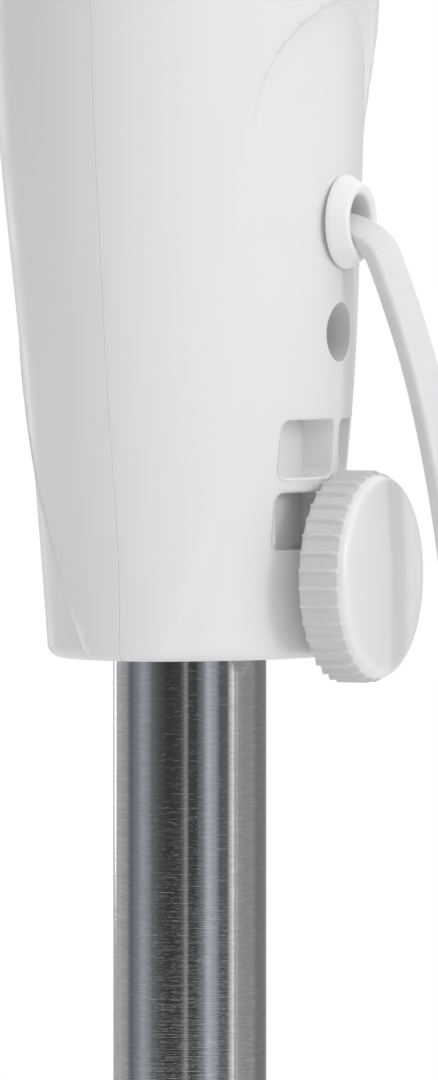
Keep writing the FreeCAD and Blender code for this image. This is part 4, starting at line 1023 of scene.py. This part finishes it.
def make_floor():
    """A pale disc just under the feet."""
    mesh = bpy.data.meshes.new("floor")
    count, radius, under = 128, 6.5, 0.0004
    turns = [2 * math.pi * i / count for i in range(count)]
    ring = [(radius * math.cos(turn), radius * math.sin(turn), 0) for turn in turns]
    mesh.from_pydata(ring, [], [tuple(range(count))])
    floor = bpy.data.objects.new("floor", mesh)
    floor.location.z = -under
    bpy.context.scene.collection.objects.link(floor)
    paint = Paint("pale_floor")
    paint.colour(paint.spread(paint.noise(3, 3), 0, 1), (0.86, 0.86, 0.865), (0.84, 0.84, 0.845))
    paint.set(Roughness=0.6)
    floor.data.materials.append(paint.material)


# What stands round the studio at the height of the pole: direction in degrees from +X towards +Y, brightness
# and tint. The dark cards stand on both sides of the camera, and the pale strips are lit reflectors.
COOL, PLAIN, WARM = (0.93, 1.0, 1.08), (1.0, 1.0, 1.0), (1.05, 1.0, 0.94)
STUDIO_ROUND = [
    (-180, 0.30, PLAIN),
    (-165, 0.38, PLAIN),
    (-150, 0.44, PLAIN),
    (-138, 0.48, PLAIN),
    (-108, 0.52, PLAIN),
    (-90, 0.42, PLAIN),
    (-76, 0.17, COOL),
    (-66, 0.26, COOL),
    (-51, 0.44, COOL),
    (-42, 0.34, COOL),
    (-33, 0.16, PLAIN),
    (-19, 0.085, PLAIN),
    (-8, 0.05, PLAIN),
    (8, 0.065, WARM),
    (14, 0.14, WARM),
    (18, 0.36, WARM),
    (23, 0.07, WARM),
    (32, 0.06, PLAIN),
    (41, 0.20, COOL),
    (53, 0.60, COOL),
    (61, 0.44, COOL),
    (72, 0.13, COOL),
    (82, 0.14, PLAIN),
    (88, 0.62, WARM),
    (93, 1.0, PLAIN),
    (99, 0.42, PLAIN),
    (118, 0.35, PLAIN),
    (132, 0.36, PLAIN),
    (148, 0.24, PLAIN),
    (165, 0.25, PLAIN),
    (174, 0.25, PLAIN),
]
OVERHEAD, BELOW = 1.06, 0.9  # brightness above the cards and below them
OVERHEAD_EDGE, BELOW_EDGE = (5, 26), (-14, -7)  # degrees of elevation over which they fade into the cards
BRIGHT_SIDE, SIDE_SHARE = math.radians(100), 0.22  # where the overhead light is strongest, and by what share


def studio_cards(nodes, turn):
    """The colour of what stands round the studio in the direction turn."""
    band = nodes.node("ShaderNodeValToRGB")
    band.color_ramp.interpolation = "EASE"
    stops = band.color_ramp.elements
    while len(stops) < len(STUDIO_ROUND):
        stops.new(0.5)
    for stop, (degrees, bright, tint) in zip(stops, STUDIO_ROUND):
        stop.position = (degrees + 180) / 360
        stop.color = (*(bright * channel for channel in tint), 1)
    share = nodes.maths("ADD", nodes.maths("DIVIDE", turn, 2 * math.pi), 0.5)
    nodes.link(share, band.inputs["Fac"])
    return band.outputs["Color"]


def overhead_light(nodes, turn):
    """The brightness above the cards, strongest towards BRIGHT_SIDE."""
    swing = nodes.maths("COSINE", nodes.maths("SUBTRACT", turn, BRIGHT_SIDE))
    share = nodes.maths("ADD", nodes.maths("MULTIPLY", swing, SIDE_SHARE), 1.0)
    return nodes.maths("MULTIPLY", share, OVERHEAD)


def make_world():
    """A pale room: dim cards and reflectors at the pole's height, soft light above, and white where seen."""
    world = bpy.data.worlds.new("studio")
    bpy.context.scene.world = world
    world.use_nodes = True
    world.node_tree.nodes.clear()
    nodes = Nodes(world.node_tree)
    direction = nodes.node("ShaderNodeSeparateXYZ")
    nodes.link(nodes.node("ShaderNodeTexCoord").outputs["Generated"], direction.inputs[0])
    x, y, z = direction.outputs
    turn = nodes.maths("ARCTAN2", y, x)

    def share_above(edge):
        low, high = (math.sin(math.radians(degrees)) for degrees in edge)
        return nodes.spread(z, 0, 1, low, high, interpolation_type="SMOOTHSTEP")

    up = nodes.mixed(share_above(OVERHEAD_EDGE), studio_cards(nodes, turn), overhead_light(nodes, turn))
    room = nodes.mixed(share_above(BELOW_EDGE), (BELOW, BELOW, BELOW, 1), up)
    seen = nodes.node("ShaderNodeLightPath").outputs["Is Camera Ray"]
    shown = nodes.mixed(seen, room, (1.0, 1.0, 1.0, 1))
    back = nodes.node("ShaderNodeBackground")
    nodes.link(shown, back.inputs["Color"])
    nodes.link(back.outputs[0], nodes.node("ShaderNodeOutputWorld").inputs["Surface"])


def make_lights():
    """A tall softbox on the camera's right, and a weak one behind the fan on the left."""
    for name, angle, away, height, tall, wide, power in (
        ("key", 70, 1.9, 1.35, 0.9, 0.35, 7.0),
        ("rim", -128, 1.8, 1.1, 0.9, 0.3, 1.5),
    ):
        light = bpy.data.lights.new(name, "AREA")
        light.shape, light.size, light.size_y, light.energy = "RECTANGLE", wide, tall, power
        lamp = bpy.data.objects.new(name, light)
        turn = math.radians(angle)
        lamp.location = (away * math.cos(turn), away * math.sin(turn), height)
        aim = Vector((0, 0, HOUSING_FOOT + 0.05)) - lamp.location
        lamp.rotation_euler = aim.to_track_quat("-Z", "Y").to_euler()
        lamp.visible_camera = False
        bpy.context.scene.collection.objects.link(lamp)


def make_camera():
    """A long lens almost level with the control housing's bottom, at its side and a little behind."""
    a, e = math.radians(CAMERA_AZIMUTH), math.radians(CAMERA_ELEVATION)
    back = Vector((math.sin(a) * math.cos(e), -math.cos(a) * math.cos(e), math.sin(e)))
    right = Vector((math.cos(a), math.sin(a), 0))
    target = right * VIEW_ASIDE + Vector((0, 0, HOUSING_FOOT + VIEW_ABOVE))
    lens = bpy.data.cameras.new("camera")
    lens.sensor_width = 36
    lens.lens = lens.sensor_width / 2 / (VIEW_TALL / 2 / CAMERA_AWAY)
    lens.clip_end = 100
    camera = bpy.data.objects.new("camera", lens)
    camera.location = target + back * CAMERA_AWAY
    camera.rotation_euler = (-back).to_track_quat("-Z", "Y").to_euler()
    bpy.context.scene.collection.objects.link(camera)
    bpy.context.scene.camera = camera


bpy.context.scene.view_settings.view_transform = "Standard"
make_camera()
make_world()
make_lights()
make_floor()
finish_cad_nodes()
make_cord()
make_shell("rear_shell", 1, rear_openings())
make_shell("front_shell", -1, [])
make_clamp_knob()
make_grommet()
make_pole()
